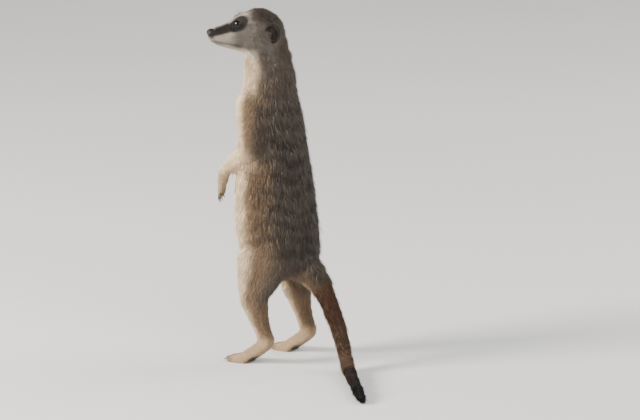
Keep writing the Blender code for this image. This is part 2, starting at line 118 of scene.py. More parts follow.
# What grows on each part: length and width of a lock in mm, locks on a square mm, how steeply they stand in
# degrees, and how deep the skin lies under their tips in mm
COAT = {
    "head": (5.5, 0.35, 6.0, 20, 1.6),
    "lower_jaw": (3.0, 0.28, 7.0, 16, 0.9),
    "neck": (10.0, 0.54, 3.5, 20, 3.4),
    "chest": (12.0, 0.58, 3.3, 19, 4.0),
    "belly": (12.5, 0.60, 3.0, 19, 4.3),
    "hips": (12.5, 0.60, 3.1, 19, 4.3),
    "thigh": (9.5, 0.54, 2.9, 17, 3.0),
    "shank": (5.5, 0.42, 3.8, 15, 1.5),
    "hind_foot": (2.8, 0.32, 5.0, 11, 0.6),
    "upper_arm": (8.0, 0.50, 3.3, 17, 2.2),
    "forearm": (5.5, 0.42, 4.2, 15, 1.4),
    "forepaw": (2.5, 0.29, 6.5, 11, 0.5),
    "tail_root": (9.0, 0.50, 3.5, 16, 2.6),
    "tail_upper": (8.0, 0.46, 3.6, 15, 2.0),
    "tail_lower": (7.5, 0.46, 3.6, 14, 1.8),
    "tail_tip": (9.0, 0.46, 4.2, 16, 1.7),
    "ear": (1.1, 0.20, 9.0, 14, 0.0),
    "lid": (1.0, 0.18, 9.0, 10, 0.0),
}
PARTS = list(COAT)
HEAD = ("head", "lower_jaw")
FACE = HEAD + ("lid",)

# Colours of the coat, as linear red, green and blue
SAND = (0.33, 0.215, 0.118)
FLANK = (0.150, 0.098, 0.057)
FLANK_GREY = (0.110, 0.082, 0.058)
CREAM = (0.86, 0.67, 0.445)
WHITE = (0.80, 0.72, 0.60)
PALE_GREY = (0.165, 0.140, 0.113)
BACK_GREY = (0.080, 0.065, 0.050)
CROWN = (0.058, 0.040, 0.027)
DARK_BAND = (0.018, 0.013, 0.010)
RUFOUS = (0.072, 0.027, 0.011)
TAIL_BROWN = (0.037, 0.0215, 0.0125)
TOE_BROWN = (0.20, 0.125, 0.070)
EAR_SKIN = (0.014, 0.010, 0.008)
BLACK = (0.009, 0.007, 0.006)
SOLE = (0.050, 0.032, 0.024)


def part_of(node):
    """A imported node's row in the coat's table."""
    return node.replace("_left", "").replace("_right", "")


def on(owner, *parts):
    """Where the owner is one of these parts."""
    return np.isin(owner, [PARTS.index(part) for part in parts])


FLESH = [node for node in sorted(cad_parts) if part_of(node) in COAT and not node.startswith("ear")]


# ---- Mesh helpers

def show(name, data):
    """Put a new mesh, lamp or camera into the scene."""
    thing = bpy.data.objects.new(name, data)
    bpy.context.scene.collection.objects.link(thing)
    return thing


def opened(mesh):
    """A mesh's copy as a bmesh."""
    bm = bmesh.new()
    bm.from_mesh(mesh)
    return bm


def closed(bm, mesh):
    """Write a bmesh into a mesh and let go of it."""
    bm.to_mesh(mesh)
    bm.free()
    return mesh


def keep(name, bm):
    """Turn a finished bmesh into an object in the scene."""
    mesh = closed(bm, bpy.data.meshes.new(name))
    mesh.shade_smooth()
    return show(name, mesh)


def finished(name, bm, material, **notes):
    """Keep a small piece, faces outwards, with its material and numbers at its vertices."""
    bmesh.ops.recalc_face_normals(bm, faces=bm.faces[:])
    thing = keep(name, bm)
    for title, values in notes.items():
        thing.data.attributes.new(title, "FLOAT", "POINT").data.foreach_set("value", values)
    thing.data.materials.append(material)
    return thing


def placed(bm, axes, spot):
    """Turn a shape from the origin's axes onto three others, and take it to a spot."""
    bm.transform(Matrix.Translation(spot) @ Matrix(np.transpose(axes).tolist()).to_4x4())


def read(items, field, width):
    """One field of many mesh items, as rows of numbers."""
    values = np.empty(len(items) * width)
    items.foreach_get(field, values)
    return values.reshape(-1, width)


def places_of(mesh):
    """Where a mesh's vertices are."""
    return read(mesh.vertices, "co", 3)


def move_to(mesh, places):
    """Put a mesh's vertices at new places."""
    mesh.vertices.foreach_set("co", places.ravel())
    mesh.update()


def normals_of(mesh):
    """Which way a mesh faces at its vertices."""
    return read(mesh.vertex_normals, "vector", 3)


def ramp(values, low, high):
    """0 below low, 1 above high, and a smooth change between."""
    share = np.clip((values - low) / (high - low), 0.0, 1.0)
    return share * share * (3.0 - 2.0 * share)


def peak(values, width):
    """1 at zero, falling smoothly to nothing on both sides."""
    return np.exp(-(values / width) ** 2)


def mottle(places, grain, seed):
    """Smooth noise from about -1 to 1 at many places; grain is the size of a patch."""
    shift = Vector((seed * 7.3, seed * 3.1, seed * 5.7))
    return np.array([noise.noise(Vector(place) / grain + shift) for place in places])


class Neighbours:
    """The vertices that share an edge in a mesh, to even values out over it."""

    def __init__(self, mesh):
        pairs = np.empty(len(mesh.edges) * 2, np.int32)
        mesh.edges.foreach_get("vertices", pairs)
        near, far = pairs.reshape(-1, 2).T
        self.here = np.concatenate((near, far))
        self.there = np.concatenate((far, near))
        self.total = len(mesh.vertices)
        self.count = np.maximum(np.bincount(self.here, minlength=self.total), 1)

    def spread(self, values, rounds, share=0.5):
        """Let values flow into their neighbours, by one share or by one for each vertex."""
        columns = [column.copy() for column in values.reshape(self.total, -1).T]
        for _ in range(rounds):
            for index, column in enumerate(columns):
                sums = np.bincount(self.here, column[self.there], minlength=self.total)
                columns[index] = column + (sums / self.count - column) * share
        return np.array(columns).T.reshape(values.shape)


def loft(bm, rows, endless=False):
    """Skin over rows of points: an endless ring of rows, or a tube with closed ends."""
    loops = []
    for row in rows:
        loops.append(bmesh.ops.create_circle(bm, cap_ends=False, segments=len(row), radius=1.0)["verts"])
        for vert, point in zip(loops[-1], row):
            vert.co = point
    pairs = list(zip(loops, loops[1:]))
    if endless:
        pairs.append((loops[-1], loops[0]))
    for near, far in pairs:
        rims = [edge for loop in (near, far) for edge in {e for v in loop for e in v.link_edges}
                if set(edge.verts) <= set(loop)]
        bmesh.ops.bridge_loops(bm, edges=rims)
    if not endless:
        for loop in (loops[0], loops[-1]):
            bmesh.ops.contextual_create(bm, geom=loop)


def round_turns(steps):
    """Angles evenly spaced round a circle."""
    return np.arange(steps) * FULL_TURN / steps


# ---- The skin

VOXEL = 0.0012  # grain of the mesh that fuses the flesh
SWELL = 0.00025  # how much each copied solid is swollen, so that neighbours meet
PARTS_BLEND = 80  # rounds in which one part's coat flows into the next
SMOOTHING = 14  # rounds that even out the fused skin
SINK_STEPS = 5
HEEL = 0.020  # length of a hind foot behind its toes
INSET = {"eye": -0.0004, "nose": -0.0006}  # what fills the hollows below the eyes and the nose pad


def swollen_copy(node, swell):
    """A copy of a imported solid, merged and a little larger."""
    bm = opened(bpy.data.objects[node].data)
    bmesh.ops.remove_doubles(bm, verts=bm.verts[:], dist=1e-6)
    bm.normal_update()
    for vert in bm.verts:
        vert.co += vert.normal * swell
    return closed(bm, bpy.data.meshes.new(node + "_copy"))


def gathered_flesh():
    """All the flesh in one bmesh, and the part that each face is from."""
    whole = bmesh.new()
    owners = []
    for node in FLESH + ["eye_left", "eye_right", "nose"]:
        mesh = swollen_copy(node, INSET.get(part_of(node), SWELL))
        before = len(whole.faces)
        whole.from_mesh(mesh)
        part = part_of(node) if part_of(node) in COAT else "head"
        owners += [PARTS.index(part)] * (len(whole.faces) - before)
        bpy.data.meshes.remove(mesh)
    return whole, owners


def fused(bm):
    """Fuse closed shapes into one smooth skin."""
    thing = keep("skin", bm)
    melt = thing.modifiers.new("melt", "REMESH")
    melt.mode = "VOXEL"
    melt.voxel_size = VOXEL
    bpy.context.view_layer.update()
    graph = bpy.context.evaluated_depsgraph_get()
    mesh = bpy.data.meshes.new_from_object(thing.evaluated_get(graph))
    thing.modifiers.clear()
    thing.data = mesh
    return thing


def refine(thing):
    """Give the face, the paws and the toes a finer mesh."""
    bm = opened(thing.data)
    places = places_of(thing.data)
    local = in_head(places)
    fine = (local[:, 0] > 0.004) & (local[:, 2] > -0.021) & (away_from(local, 0.0) < 0.060)
    for side in SIDES:
        fine |= in_box(places, "forepaw_" + side) | in_box(places, "hind_foot_" + side, cut=HEEL)
    bm.verts.ensure_lookup_table()
    edges = [edge for edge in bm.edges if fine[edge.verts[0].index] and fine[edge.verts[1].index]]
    bmesh.ops.subdivide_edges(bm, edges=edges, cuts=1, use_grid_fill=True)
    bmesh.ops.triangulate(bm, faces=[face for face in bm.faces if len(face.verts) > 4])
    closed(bm, thing.data)


def owners_at(places, tree, owners):
    """The part that each place belongs to."""
    return np.array([owners[tree.find_nearest(place)[2]] for place in places])


def draw_in(mesh, web, depth, keep_shape):
    """Sink the skin below the tips of the coat, in steps so that it doesn't fold."""
    for _ in range(SINK_STEPS):
        places = places_of(mesh) - normals_of(mesh) * (depth / SINK_STEPS)[:, None]
        places = web.spread(places, 2, 0.3 * (1.0 - keep_shape))
        places[:, 2] = np.maximum(places[:, 2], 0.0)
        move_to(mesh, places)


def mouth_gap(local):
    """How far a place in the head lies above the line of the mouth."""
    return local[:, 2] - (MOUTH_UP + MOUTH_RISE * (local[:, 0] - MOUTH_START))


def shape_face(mesh, is_head):
    """The mouth, the lips, the split below the nose, and room for the nose pad."""
    places, normals = places_of(mesh), normals_of(mesh)
    local = in_head(places)
    ahead, out, up = local[:, 0], np.abs(local[:, 1]), local[:, 2]
    gap = mouth_gap(local)
    along = ramp(ahead, MOUTH_START - 0.001, MOUTH_START + 0.004) * is_head
    depth = 0.0008 * peak(gap, 0.0005) * along  # the mouth's line, then the lower lip and the upper
    depth += 0.0003 * ramp(-gap, 0.0002, 0.0012) * (1.0 - ramp(-gap, 0.0040, 0.0070)) * along
    depth -= 0.0005 * peak(gap - 0.0024, 0.0018) * ramp(ahead, 0.028, 0.036) * is_head
    split = peak(out, 0.00045) * ramp(ahead, 0.041, 0.044) * ramp(gap, 0.0, 0.001) * is_head
    depth += 0.0005 * split * (1.0 - ramp(up, -0.006, -0.004))
    places -= normals * depth[:, None]
    behind_pad = from_head(NOSE_PLACE) - AHEAD * 0.0015
    inside = (1.0 - ramp(from_nose(places), 0.95, 1.25)) * is_head
    move_to(mesh, places + (behind_pad - places) * (0.45 * inside)[:, None])


def from_nose(places):
    """How far each place is from the middle of the nose pad; 1 is on the pad."""
    return np.linalg.norm((in_head(places) - NOSE_PLACE) / NOSE_HALF, axis=1)


# ---- Nose, lids and ears

NOSE_HALF = (0.0046, 0.0045, 0.0037)
NOSE_PLACE = (0.0467, 0.0, -0.0036)
LID_OPEN_ACROSS, LID_OPEN_UP = 0.80 * EYE_RADIUS, 0.60 * EYE_RADIUS
LID_ALMOND = 1.65  # 2 is an ellipse, less has sharper corners
LID_TILT = math.radians(-14)
LID_WIDTH = 0.0026  # from a lid's wet edge to the furred skin
LID_RIM = 0.00035  # how far the wet edge stands over the eyeball
LID_TURNS = round_turns(48)
LID_REACH = EYE_RADIUS + 0.006  # how far from an eye's middle its lids can be
# Across a lid from its wet edge outwards, and back under the skin: share of its width, lift in mm
LID_ROWS = ((0.00, -0.60), (0.00, -0.12), (0.06, 0.02), (0.20, 0.06), (0.45, 0.05), (0.75, 0.02),
            (1.00, -0.05), (1.00, -0.80), (0.50, -1.00))


def eye_axes(side):
    """Where an eye looks, the way to its inner corner, and its way up."""
    look = unit(AHEAD * 0.56 + LEFT * SIDES[side] * 0.78 + UP * 0.27)
    inner = unit(AHEAD - look * (AHEAD @ look))
    rise = unit(UP - look * (UP @ look) - inner * (UP @ inner))
    return look, inner, rise


def round_eye(places, side):
    """Places seen from an eye: how far off its line of sight, how far round it, and how far along it."""
    look, inner, rise = eye_axes(side)
    away = places - EYES[side]
    return np.hypot(away @ inner, away @ rise), np.arctan2(away @ rise, away @ inner), away @ look


def eye_gap(places):
    """How far each place is from the nearer eye's middle."""
    return np.minimum(away_from(places, EYES["left"]), away_from(places, EYES["right"]))


def opening(turn):
    """How far the lid's wet edge is from the line of sight, all round."""
    wide = np.abs(np.cos(turn - LID_TILT)) / LID_OPEN_ACROSS
    tall = np.abs(np.sin(turn - LID_TILT)) / LID_OPEN_UP
    return (wide ** LID_ALMOND + tall ** LID_ALMOND) ** (-1 / LID_ALMOND)


def ball_height(off):
    """How far along the line of sight the eyeball's surface is."""
    return np.sqrt(np.maximum(EYE_RADIUS ** 2 - off ** 2, 0.0))


def lid_height(turn, share, foot):
    """How high a lid is, from its wet edge at share 0 to the furred skin at share 1."""
    edge = ball_height(opening(turn)) + LID_RIM
    return edge + (foot - edge) * ramp(share, 0.0, 1.0)


def lid_feet(mesh, side):
    """How high the skin is where it meets the lids, round an eye."""
    look, inner, rise = eye_axes(side)
    bm = opened(mesh)
    tree = BVHTree.FromBMesh(bm)
    bm.free()
    feet = []
    for turn in LID_TURNS:
        off = opening(turn) + LID_WIDTH
        start = EYES[side] + (inner * math.cos(turn) + rise * math.sin(turn)) * off + look * 0.020
        feet.append((Vector(tree.ray_cast(start, -look)[0]) - Vector(EYES[side])) @ Vector(look))
    return np.array(feet)


def seat_eye(mesh, side, feet):
    """Sink the skin under an eye's lids, and under its eyeball inside them."""
    places = places_of(mesh)
    off, turn, height = round_eye(places, side)
    share = (off - opening(turn)) / LID_WIDTH
    foot = np.interp(turn, LID_TURNS, feet, period=FULL_TURN)
    under_lid = lid_height(turn, share, foot) - 0.0004 * (1.0 - ramp(share, 0.7, 1.0))
    limit = np.where(share < 0.05, ball_height(off) - 0.0006, under_lid)
    near = (share < 1.0) & (height > 0.0) & (away_from(places, EYES[side]) < LID_REACH)
    drop = np.where(near, np.maximum(height - limit, 0.0), 0.0)
    move_to(mesh, places - eye_axes(side)[0] * drop[:, None])


def lids(bm, side, feet):
    """Both lids of one eye, as a closed ring round an almond opening."""
    look, inner, rise = eye_axes(side)
    outward = np.cos(LID_TURNS)[:, None] * inner + np.sin(LID_TURNS)[:, None] * rise
    rows = []
    for share, lift in LID_ROWS:
        off = opening(LID_TURNS) + LID_WIDTH * share
        height = lid_height(LID_TURNS, share, feet) + lift * MM
        rows.append(EYES[side] + outward * off[:, None] + look * height[:, None])
    loft(bm, rows, endless=True)


EAR_FLARE, EAR_TILT = math.radians(-12), math.radians(-8)
EAR_HALF_WIDTH, EAR_HALF_HEIGHT = 0.0062, 0.0081
EAR_PLACE = (-0.0052, 0.0205, -0.0010)
EAR_PIT = (0.34, -0.24)  # the canal, ahead of the ear's middle and below it, as shares of its size
EAR_TURNS = round_turns(40)
EAR_FLOOR = -1.10  # height of the ear's bowl in mm, where its inner fold runs out
# Across an ear from the canal out to the rim and round its back: share of its size, height in mm
EAR_ROWS = ((0.05, -2.20), (0.18, -2.10), (0.30, -1.60), (0.40, -0.60), (0.47, 0.30), (0.53, 0.25),
            (0.64, -0.70), (0.78, -0.60), (0.89, 0.45), (0.95, 1.20), (1.00, 1.35), (1.03, 0.85),
            (1.01, 0.00), (0.91, -1.10), (0.66, -2.00), (0.30, -2.60), (0.06, -2.70))


def ear(bm, side):
    """A small rounded ear: a bowl low in front, a fold that curls round behind it, and a rim over that."""
    hand = SIDES[side]
    flare = Matrix.Rotation(EAR_FLARE * hand, 3, "Z") @ Matrix.Rotation(EAR_TILT * hand, 3, "X")
    axes = ((1, 0, 0), (0, hand, 0), (0, 0, 1))
    width, out, tall = (np.array(flare @ Vector(axis)) @ HEAD_AXES for axis in axes)
    centre = from_head(EAR_PLACE * np.array((1.0, hand, 1.0)))
    cos, sin = np.cos(EAR_TURNS), np.sin(EAR_TURNS)
    behind = 0.5 - 0.5 * cos
    above = np.cos((EAR_TURNS - math.radians(140)) / 2) ** 2
    rows = []
    for share, height in EAR_ROWS:
        fold = np.full(len(EAR_TURNS), height)
        if 0.35 < share < 0.60:  # the inner fold, only above and behind
            fold = EAR_FLOOR + (height - EAR_FLOOR) * above
        if share > 0.75 and height > 0.0:  # the rim, highest behind
            fold = height * (0.35 + 0.65 * behind)
        x = (cos * (1.0 + 0.10 * sin) * share + EAR_PIT[0] * (1.0 - share)) * EAR_HALF_WIDTH
        z = (sin * share + EAR_PIT[1] * (1.0 - share)) * EAR_HALF_HEIGHT
        rows.append(centre + x[:, None] * width + z[:, None] * tall + fold[:, None] * MM * out)
    loft(bm, rows)


# ---- The toes

# Each left paw: the way its toes point, the way across them, how far apart its claws are and how far they
# stand out of the toes, and a claw's length, radius, rise of its root over its point, and arch
PAWS = {
    "hind_foot": ((0.05, -1.0, 0.0), (1.0, 0.0, 0.0), 0.0030, 0.0037, (0.0064, 0.0010, 0.0006, 0.0007)),
    "forepaw": ((-0.05, -0.16, -1.0), (0.94, 0.34, 0.0), 0.0024, 0.0063, (0.0086, 0.00085, 0.0006, 0.0011)),
}
TOE_LENGTH = 0.0135  # from the claws' points to where the toes end
TOE_FAN = 0.09  # how far each toe points outwards of the one beside it
TOE_GROOVE = 0.0015


def paws():
    """Every paw: node, way of the toes, way across them, claws' points, how far they stand out, and sizes."""
    for side, hand in SIDES.items():
        for part, (way, across, apart, bare, size) in PAWS.items():
            way = unit(np.array(way) * (hand, 1.0, 1.0))
            across = unit(np.array(across) * (1.0, hand, 1.0))
            node = f"{part}_{side}"
            tips = sorted(claw_tips(node, way, apart), key=lambda tip: tip @ across)
            yield node, way, across, np.array(tips), bare, size


def claw_tips(node, way, apart):
    """The points of a paw's four claws: its furthest places along the toes, well apart from each other."""
    places = places_of(bpy.data.objects[node].data)
    tips = []
    for index in np.argsort(-(places @ way)):
        if all(np.linalg.norm((places[index] - tip)[:2]) > apart for tip in tips):
            tips.append(places[index])
        if len(tips) == 4:
            return tips


def toe_shapes(places):
    """Near the toes: 1 on them and 0 behind them, and 1 in the grooves between them."""
    toes, grooves = np.zeros(len(places)), np.zeros(len(places))
    for node, way, across, tips, bare, _ in paws():
        back = np.mean(tips, axis=0) @ way - places @ way
        on_toes = (1.0 - ramp(back, TOE_LENGTH - 0.005, TOE_LENGTH)) * in_box(places, node)
        toes = np.maximum(toes, on_toes)
        centre = middle(node) @ across
        for near, far in zip(tips, tips[1:]):
            start = (near + far) @ across / 2
            line = start + (centre - start) * 0.45 * np.clip(back / TOE_LENGTH, 0.0, 1.0)
            grooves += peak(places @ across - line, 0.0006) * on_toes * ramp(back, bare - 0.002, bare)
    return toes, grooves


def press_claws(mesh, web):
    """Press the fused skin's claws back into its toes; the claws are their own piece."""
    places = places_of(mesh)
    pressed = np.zeros(len(places))
    for node, way, across, tips, bare, _ in paws():
        nearest = np.argmin(np.abs((places @ across)[:, None] - tips @ across), axis=1)
        over = (places @ way - (tips @ way)[nearest] + bare) * in_box(places, node)
        places -= (0.90 * np.maximum(over, 0.0))[:, None] * way
        pressed = np.maximum(pressed, ramp(over, -0.0006, 0.0002) * in_box(places, node))
    move_to(mesh, web.spread(places, 6, 0.5 * pressed))


def build_skin():
    """The whole skin, and the part that each of its vertices belongs to."""
    whole, owners = gathered_flesh()
    tree = BVHTree.FromBMesh(whole)
    skin = fused(whole)
    refine(skin)
    mesh = skin.data
    web = Neighbours(mesh)
    places = places_of(mesh)
    owner = owners_at(places, tree, owners)
    table = np.array([COAT[part] for part in PARTS])[owner]
    delicate = on(owner, *HEAD, "forepaw", "hind_foot")
    keep_shape = web.spread(np.where(delicate, 0.75, 0.0), 12)
    move_to(mesh, web.spread(places, SMOOTHING, 0.5 * (1.0 - keep_shape)))
    press_claws(mesh, web)
    depth = face_depth(web.spread(table[:, 4], PARTS_BLEND), places, owner)
    sole = (normals_of(mesh)[:, 2] < -0.6) & (places[:, 2] < 0.0020) & on(owner, "hind_foot")
    depth = np.where(sole, 0.0001, web.spread(depth, 8))
    draw_in(mesh, web, depth, keep_shape)
    groove = TOE_GROOVE * toe_shapes(places_of(mesh))[1]
    move_to(mesh, places_of(mesh) - normals_of(mesh) * groove[:, None])
    shape_face(mesh, on(owner, *HEAD))
    feet = {side: lid_feet(mesh, side) for side in SIDES}
    for side in SIDES:
        seat_eye(mesh, side, feet[side])

    bm = opened(mesh)
    extra = []
    for side in SIDES:
        for part in ("lid", "ear"):
            verts, faces = len(bm.verts), len(bm.faces)
            if part == "lid":
                lids(bm, side, feet[side])
            else:
                ear(bm, side)
            extra += [PARTS.index(part)] * (len(bm.verts) - verts)
            bm.faces.ensure_lookup_table()
            bmesh.ops.recalc_face_normals(bm, faces=bm.faces[faces:])
    closed(bm, mesh).shade_smooth()
    return skin, np.concatenate((owner, extra)).astype(int)


def face_depth(depth, places, owner):
    """How deep the skin lies: thinner towards the nose and round the eyes."""
    ahead = in_head(places)[:, 0]
    muzzle = 0.35 + 0.65 * (1.0 - ramp(ahead, 0.008, 0.038))
    nape = 1.0 + 0.6 * ramp(-ahead, -0.002, 0.014)
    lid = 0.15 + 0.85 * ramp(eye_gap(places), 0.008, 0.015)
    return depth * MM * np.where(on(owner, *HEAD), muzzle * nape * lid, 1.0)


# ---- How the coat lies

# Where the tail bends along the floor: the middle of what two of its nodes' boxes share
TAIL_BOXES = np.array([corners_of(node) for node in ("tail_upper", "tail_lower")])
BEND = (TAIL_BOXES[:, 0].max(axis=0) + TAIL_BOXES[:, 1].min(axis=0)) / 2
# Limbs whose hair points at the middle of the node after them
LIMBS = (("thigh", "shank"), ("shank", "hind_foot"), ("upper_arm", "forearm"), ("forearm", "forepaw"))


def lie_of(places, owner):
    """The way the hair points at each place, part by part."""
    lie = np.tile(DOWN + np.array((0.0, 0.08, 0.0)), (len(places), 1))
    local = in_head(places)
    hand = np.where(places[:, 0] > middle("chest")[0], "left", "right")
    head = on(owner, *FACE)
    fall = ramp(-local[:, 0], -0.016, 0.016)[:, None]
    lie[head] = (-AHEAD * (1.0 - 0.85 * fall) + DOWN * (0.12 + 0.95 * fall))[head]
    lie[on(owner, "hips")] = (0.0, 0.25, -1.0)
    lie[on(owner, "ear")] = -AHEAD * 0.6 + UP * 0.8
    lie[on(owner, "hind_foot")] = (0.0, -1.0, -0.35)
    for side in SIDES:
        here = hand == side
        for part, after in LIMBS:
            lie[on(owner, part) & here] = middle(f"{after}_{side}") - middle(f"{part}_{side}")
        lie[on(owner, "forepaw") & here] = (-0.05 * SIDES[side], -0.16, -1.0)
    lie[on(owner, "tail_root", "tail_upper")] = BEND - middle("tail_root")
    lie[on(owner, "tail_lower", "tail_tip")] = middle("tail_tip") - middle("tail_lower")
    return unit(lie)


# ---- The markings, and painted shade

BAND_STEP = 0.0135  # from one dark bar on the back to the next
TAIL_DARKENS = (-0.050, -0.008)  # where the tail turns black, from the middle of its tip
STRIPE = ((0.0225, 0.0045), (0.0480, -0.0030))  # from the eye to the nose, in the head's side view
EYE_PATCH = (0.0092, 0.0066)  # half length and half height of the dark patch round an eye


def wash(coat, colour, mask):
    """Lay a colour over the coat where the mask is 1."""
    coat += (np.array(colour) - coat) * np.clip(mask, 0.0, 1.0)[:, None]


def near_line(places, start, end):
    """How far each place is from a straight line, and how far along it that is."""
    start, end = np.asarray(start), np.asarray(end)
    run = end - start
    share = np.clip((places - start) @ run / (run @ run), 0.0, 1.0)
    return np.linalg.norm(places - start - share[:, None] * run, axis=1), share


def markings_and_shade(places, facing, part):
    """The colour of the coat at each place, and how grizzled it is."""
    local = in_head(places)
    rear, height = facing[:, 1], places[:, 2]
    patch = mottle(places, 0.022, 3)
    blotch = mottle(places, 0.009, 1)
    fleck = mottle(places, 0.0035, 2)
    coat = np.tile(SAND, (len(places), 1))

    head = part(*FACE)
    trunk = part(*FACE, "neck", "chest", "belly", "hips")
    upper_limbs, lower_limbs = part("thigh", "upper_arm"), part("shank", "forearm")
    wash(coat, FLANK, ramp(rear + 0.12 * blotch, -0.35, 0.10) * (trunk + 0.85 * upper_limbs))
    wash(coat, BACK_GREY, ramp(rear + 0.20 * blotch, 0.30, 0.68) * trunk)
    wash(coat, BACK_GREY, 0.85 * ramp(rear + 0.2 * blotch, 0.32, 0.78) * upper_limbs)
    wash(coat, FLANK, 0.75 * ramp(rear + 0.12 * blotch, -0.05, 0.55) * lower_limbs)
    for mask, low, high in ((trunk, 0.10, 0.40), (0.95 * part("upper_arm"), -0.25, 0.20),
                            (0.95 * part("thigh"), -0.15, 0.30), (0.95 * lower_limbs, -0.25, 0.30)):
        wash(coat, CREAM, mask * ramp(-rear + 0.10 * blotch, low, high))
    wash(coat, CREAM, 0.6 * part("forearm"))
    front = part("belly", "hips") + 0.6 * part("chest")
    wash(coat, SAND, (0.55 + 0.30 * patch) * ramp(-rear, 0.74, 0.97) * front)
    wash(coat, FLANK_GREY, 0.65 * ramp(rear, -0.45, 0.10) * part(*FACE, "neck"))

    wave = np.cos(FULL_TURN * (height + 0.0045 * blotch + 0.0075 * patch + 0.004 * rear) / BAND_STEP)
    bars = ramp(wave + 0.9 * fleck + 0.5 * patch, 0.05, 0.95) * ramp(rear + 0.3 * blotch, 0.10, 0.60)
    bars *= ramp(height, 0.075, 0.110) * (1.0 - 0.7 * ramp(height, 0.190, 0.230))
    wash(coat, DARK_BAND, 0.80 * bars * (trunk + 0.4 * part("thigh")))

    paint_tail(coat, part, places, fleck)
    paint_paws(coat, part, places, facing)
    paint_head(coat, part, places, local, blotch, fleck)

    coat *= (1.0 + 0.10 * patch + 0.10 * blotch + 0.08 * fleck)[:, None]
    grizzle = 0.06 + 0.59 * ramp(rear, -0.1, 0.6) * trunk + 0.12 * (upper_limbs + lower_limbs)
    grizzle = np.where(head + part("ear") > 0.5, 0.12 + 0.40 * ramp(-local[:, 0], -0.020, 0.004), grizzle)
    return np.clip(coat, 0.004, 0.9), grizzle


def paint_head(coat, part, places, local, blotch, fleck):
    """Grey cheeks, dark crown, pale brow and muzzle, a black stripe through the eyes, and painted shade behind
    the jaw.
    """
    ahead, out, up = local[:, 0], np.abs(local[:, 1]), local[:, 2]
    head = part(*FACE)
    beside, share = near_line(local[:, [0, 2]], *STRIPE)
    over_stripe = up - np.interp(ahead, (STRIPE[0][0], STRIPE[1][0]), (STRIPE[0][1], STRIPE[1][1]))
    in_middle = 1.0 - ramp(out, 0.0015, 0.0060)

    wash(coat, PALE_GREY, ramp(ahead + 0.002 * blotch, -0.012, 0.002) * head)
    brow = ramp(ahead, 0.007, 0.018) * ramp(over_stripe + 0.0006 * blotch, 0.0015, 0.0045)
    wash(coat, WHITE, 0.9 * brow * head)
    wash(coat, PALE_GREY, 0.6 * ramp(ahead, 0.004, 0.020) * in_middle * ramp(up, 0.004, 0.009) * head)
    crown = ramp(up + 0.0016 * blotch, 0.0045, 0.0110) * ramp(-ahead + 0.0016 * fleck, -0.021, -0.011)
    wash(coat, CROWN, 0.95 * crown * (1.0 - 0.6 * ramp(-ahead, 0.004, 0.018)) * head)
    wash(coat, WHITE, 0.45 * ramp(ahead, 0.024, 0.034) * (1.0 - ramp(over_stripe, -0.0045, -0.0020)) * head)
    wash(coat, WHITE, 0.9 * ramp(-up, 0.012, 0.018) * ramp(ahead, 0.006, 0.014) * head)
    wash(coat, CREAM, 0.9 * ramp(ahead, 0.003, 0.013) * ramp(-up, 0.016, 0.026) * part(*FACE, "neck"))
    wide = 0.0037 - 0.0003 * share
    stripe = 1.0 - ramp(beside + 0.0005 * fleck, wide - 0.0012, wide + 0.0008)
    wash(coat, DARK_BAND, 0.96 * stripe * ramp(out, 0.0018, 0.0042) * ramp(ahead, 0.016, 0.022) * head)
    for side, hand in SIDES.items():
        off, turn, _ = round_eye(places, side)
        turn = turn - LID_TILT
        patch = np.hypot(off * np.cos(turn) / EYE_PATCH[0], off * np.sin(turn) / EYE_PATCH[1])
        own_side = ramp(local[:, 1] * hand, 0.0005, 0.0025)
        wash(coat, BLACK, 0.97 * (1.0 - ramp(patch + 0.07 * fleck, 0.82, 1.15)) * own_side * head)
        # A faint dark patch behind the jaw, on both sides: painted shade under the cheek
        jaw_shade_gap = away_from(places, from_head((0.004, 0.018 * hand, -0.024)))
        wash(coat, CROWN, 0.55 * (1.0 - ramp(jaw_shade_gap + 0.002 * blotch, 0.002, 0.010)))
    wash(coat, BLACK, 0.9 * ramp(ahead, 0.0440, 0.0465) * ramp(mouth_gap(local), 0.0010, 0.0030) * head)
    lips = peak(mouth_gap(local), 0.0006) * ramp(ahead, MOUTH_START, MOUTH_START + 0.003)
    wash(coat, DARK_BAND, 0.7 * lips * head)
    wash(coat, BLACK, 0.97 * part("ear"))
    bowl = away_from(np.stack((ahead, out, up), axis=1), EAR_PLACE)
    wash(coat, EAR_SKIN, 0.8 * (1.0 - ramp(bowl, 0.0035, 0.0065)) * part("ear"))


def paint_tail(coat, part, places, fleck):
    """A dark rufous root, a brown length and a black tip."""
    wash(coat, RUFOUS, 0.95 * part("tail_root") + 0.75 * part("tail_upper"))
    wash(coat, TAIL_BROWN, part("tail_lower", "tail_tip") + 0.4 * part("tail_upper"))
    to_tip = (places - middle("tail_tip")) @ unit(middle("tail_tip") - middle("tail_lower"))
    wash(coat, BLACK, ramp(to_tip + 0.002 * fleck, *TAIL_DARKENS) * part("tail_lower", "tail_tip"))


def paint_paws(coat, part, places, facing):
    """Pale paws with browner toes, painted shade in the grooves between the toes, and dark soles."""
    toes, grooves = toe_shapes(places)
    wash(coat, CREAM, 0.45 * part("forepaw") + 0.25 * part("hind_foot"))
    wash(coat, TOE_BROWN, 0.55 * toes * part("forepaw", "hind_foot"))
    # The grooves between the toes are darkened: painted shade
    wash(coat, FLANK, 0.75 * ramp(grooves, 0.25, 0.85))
    sole = ramp(-facing[:, 2], 0.35, 0.75) * ramp(-places[:, 2], -0.010, -0.006)
    wash(coat, SOLE, sole * part("hind_foot"))


# ---- What the coat reads off the skin

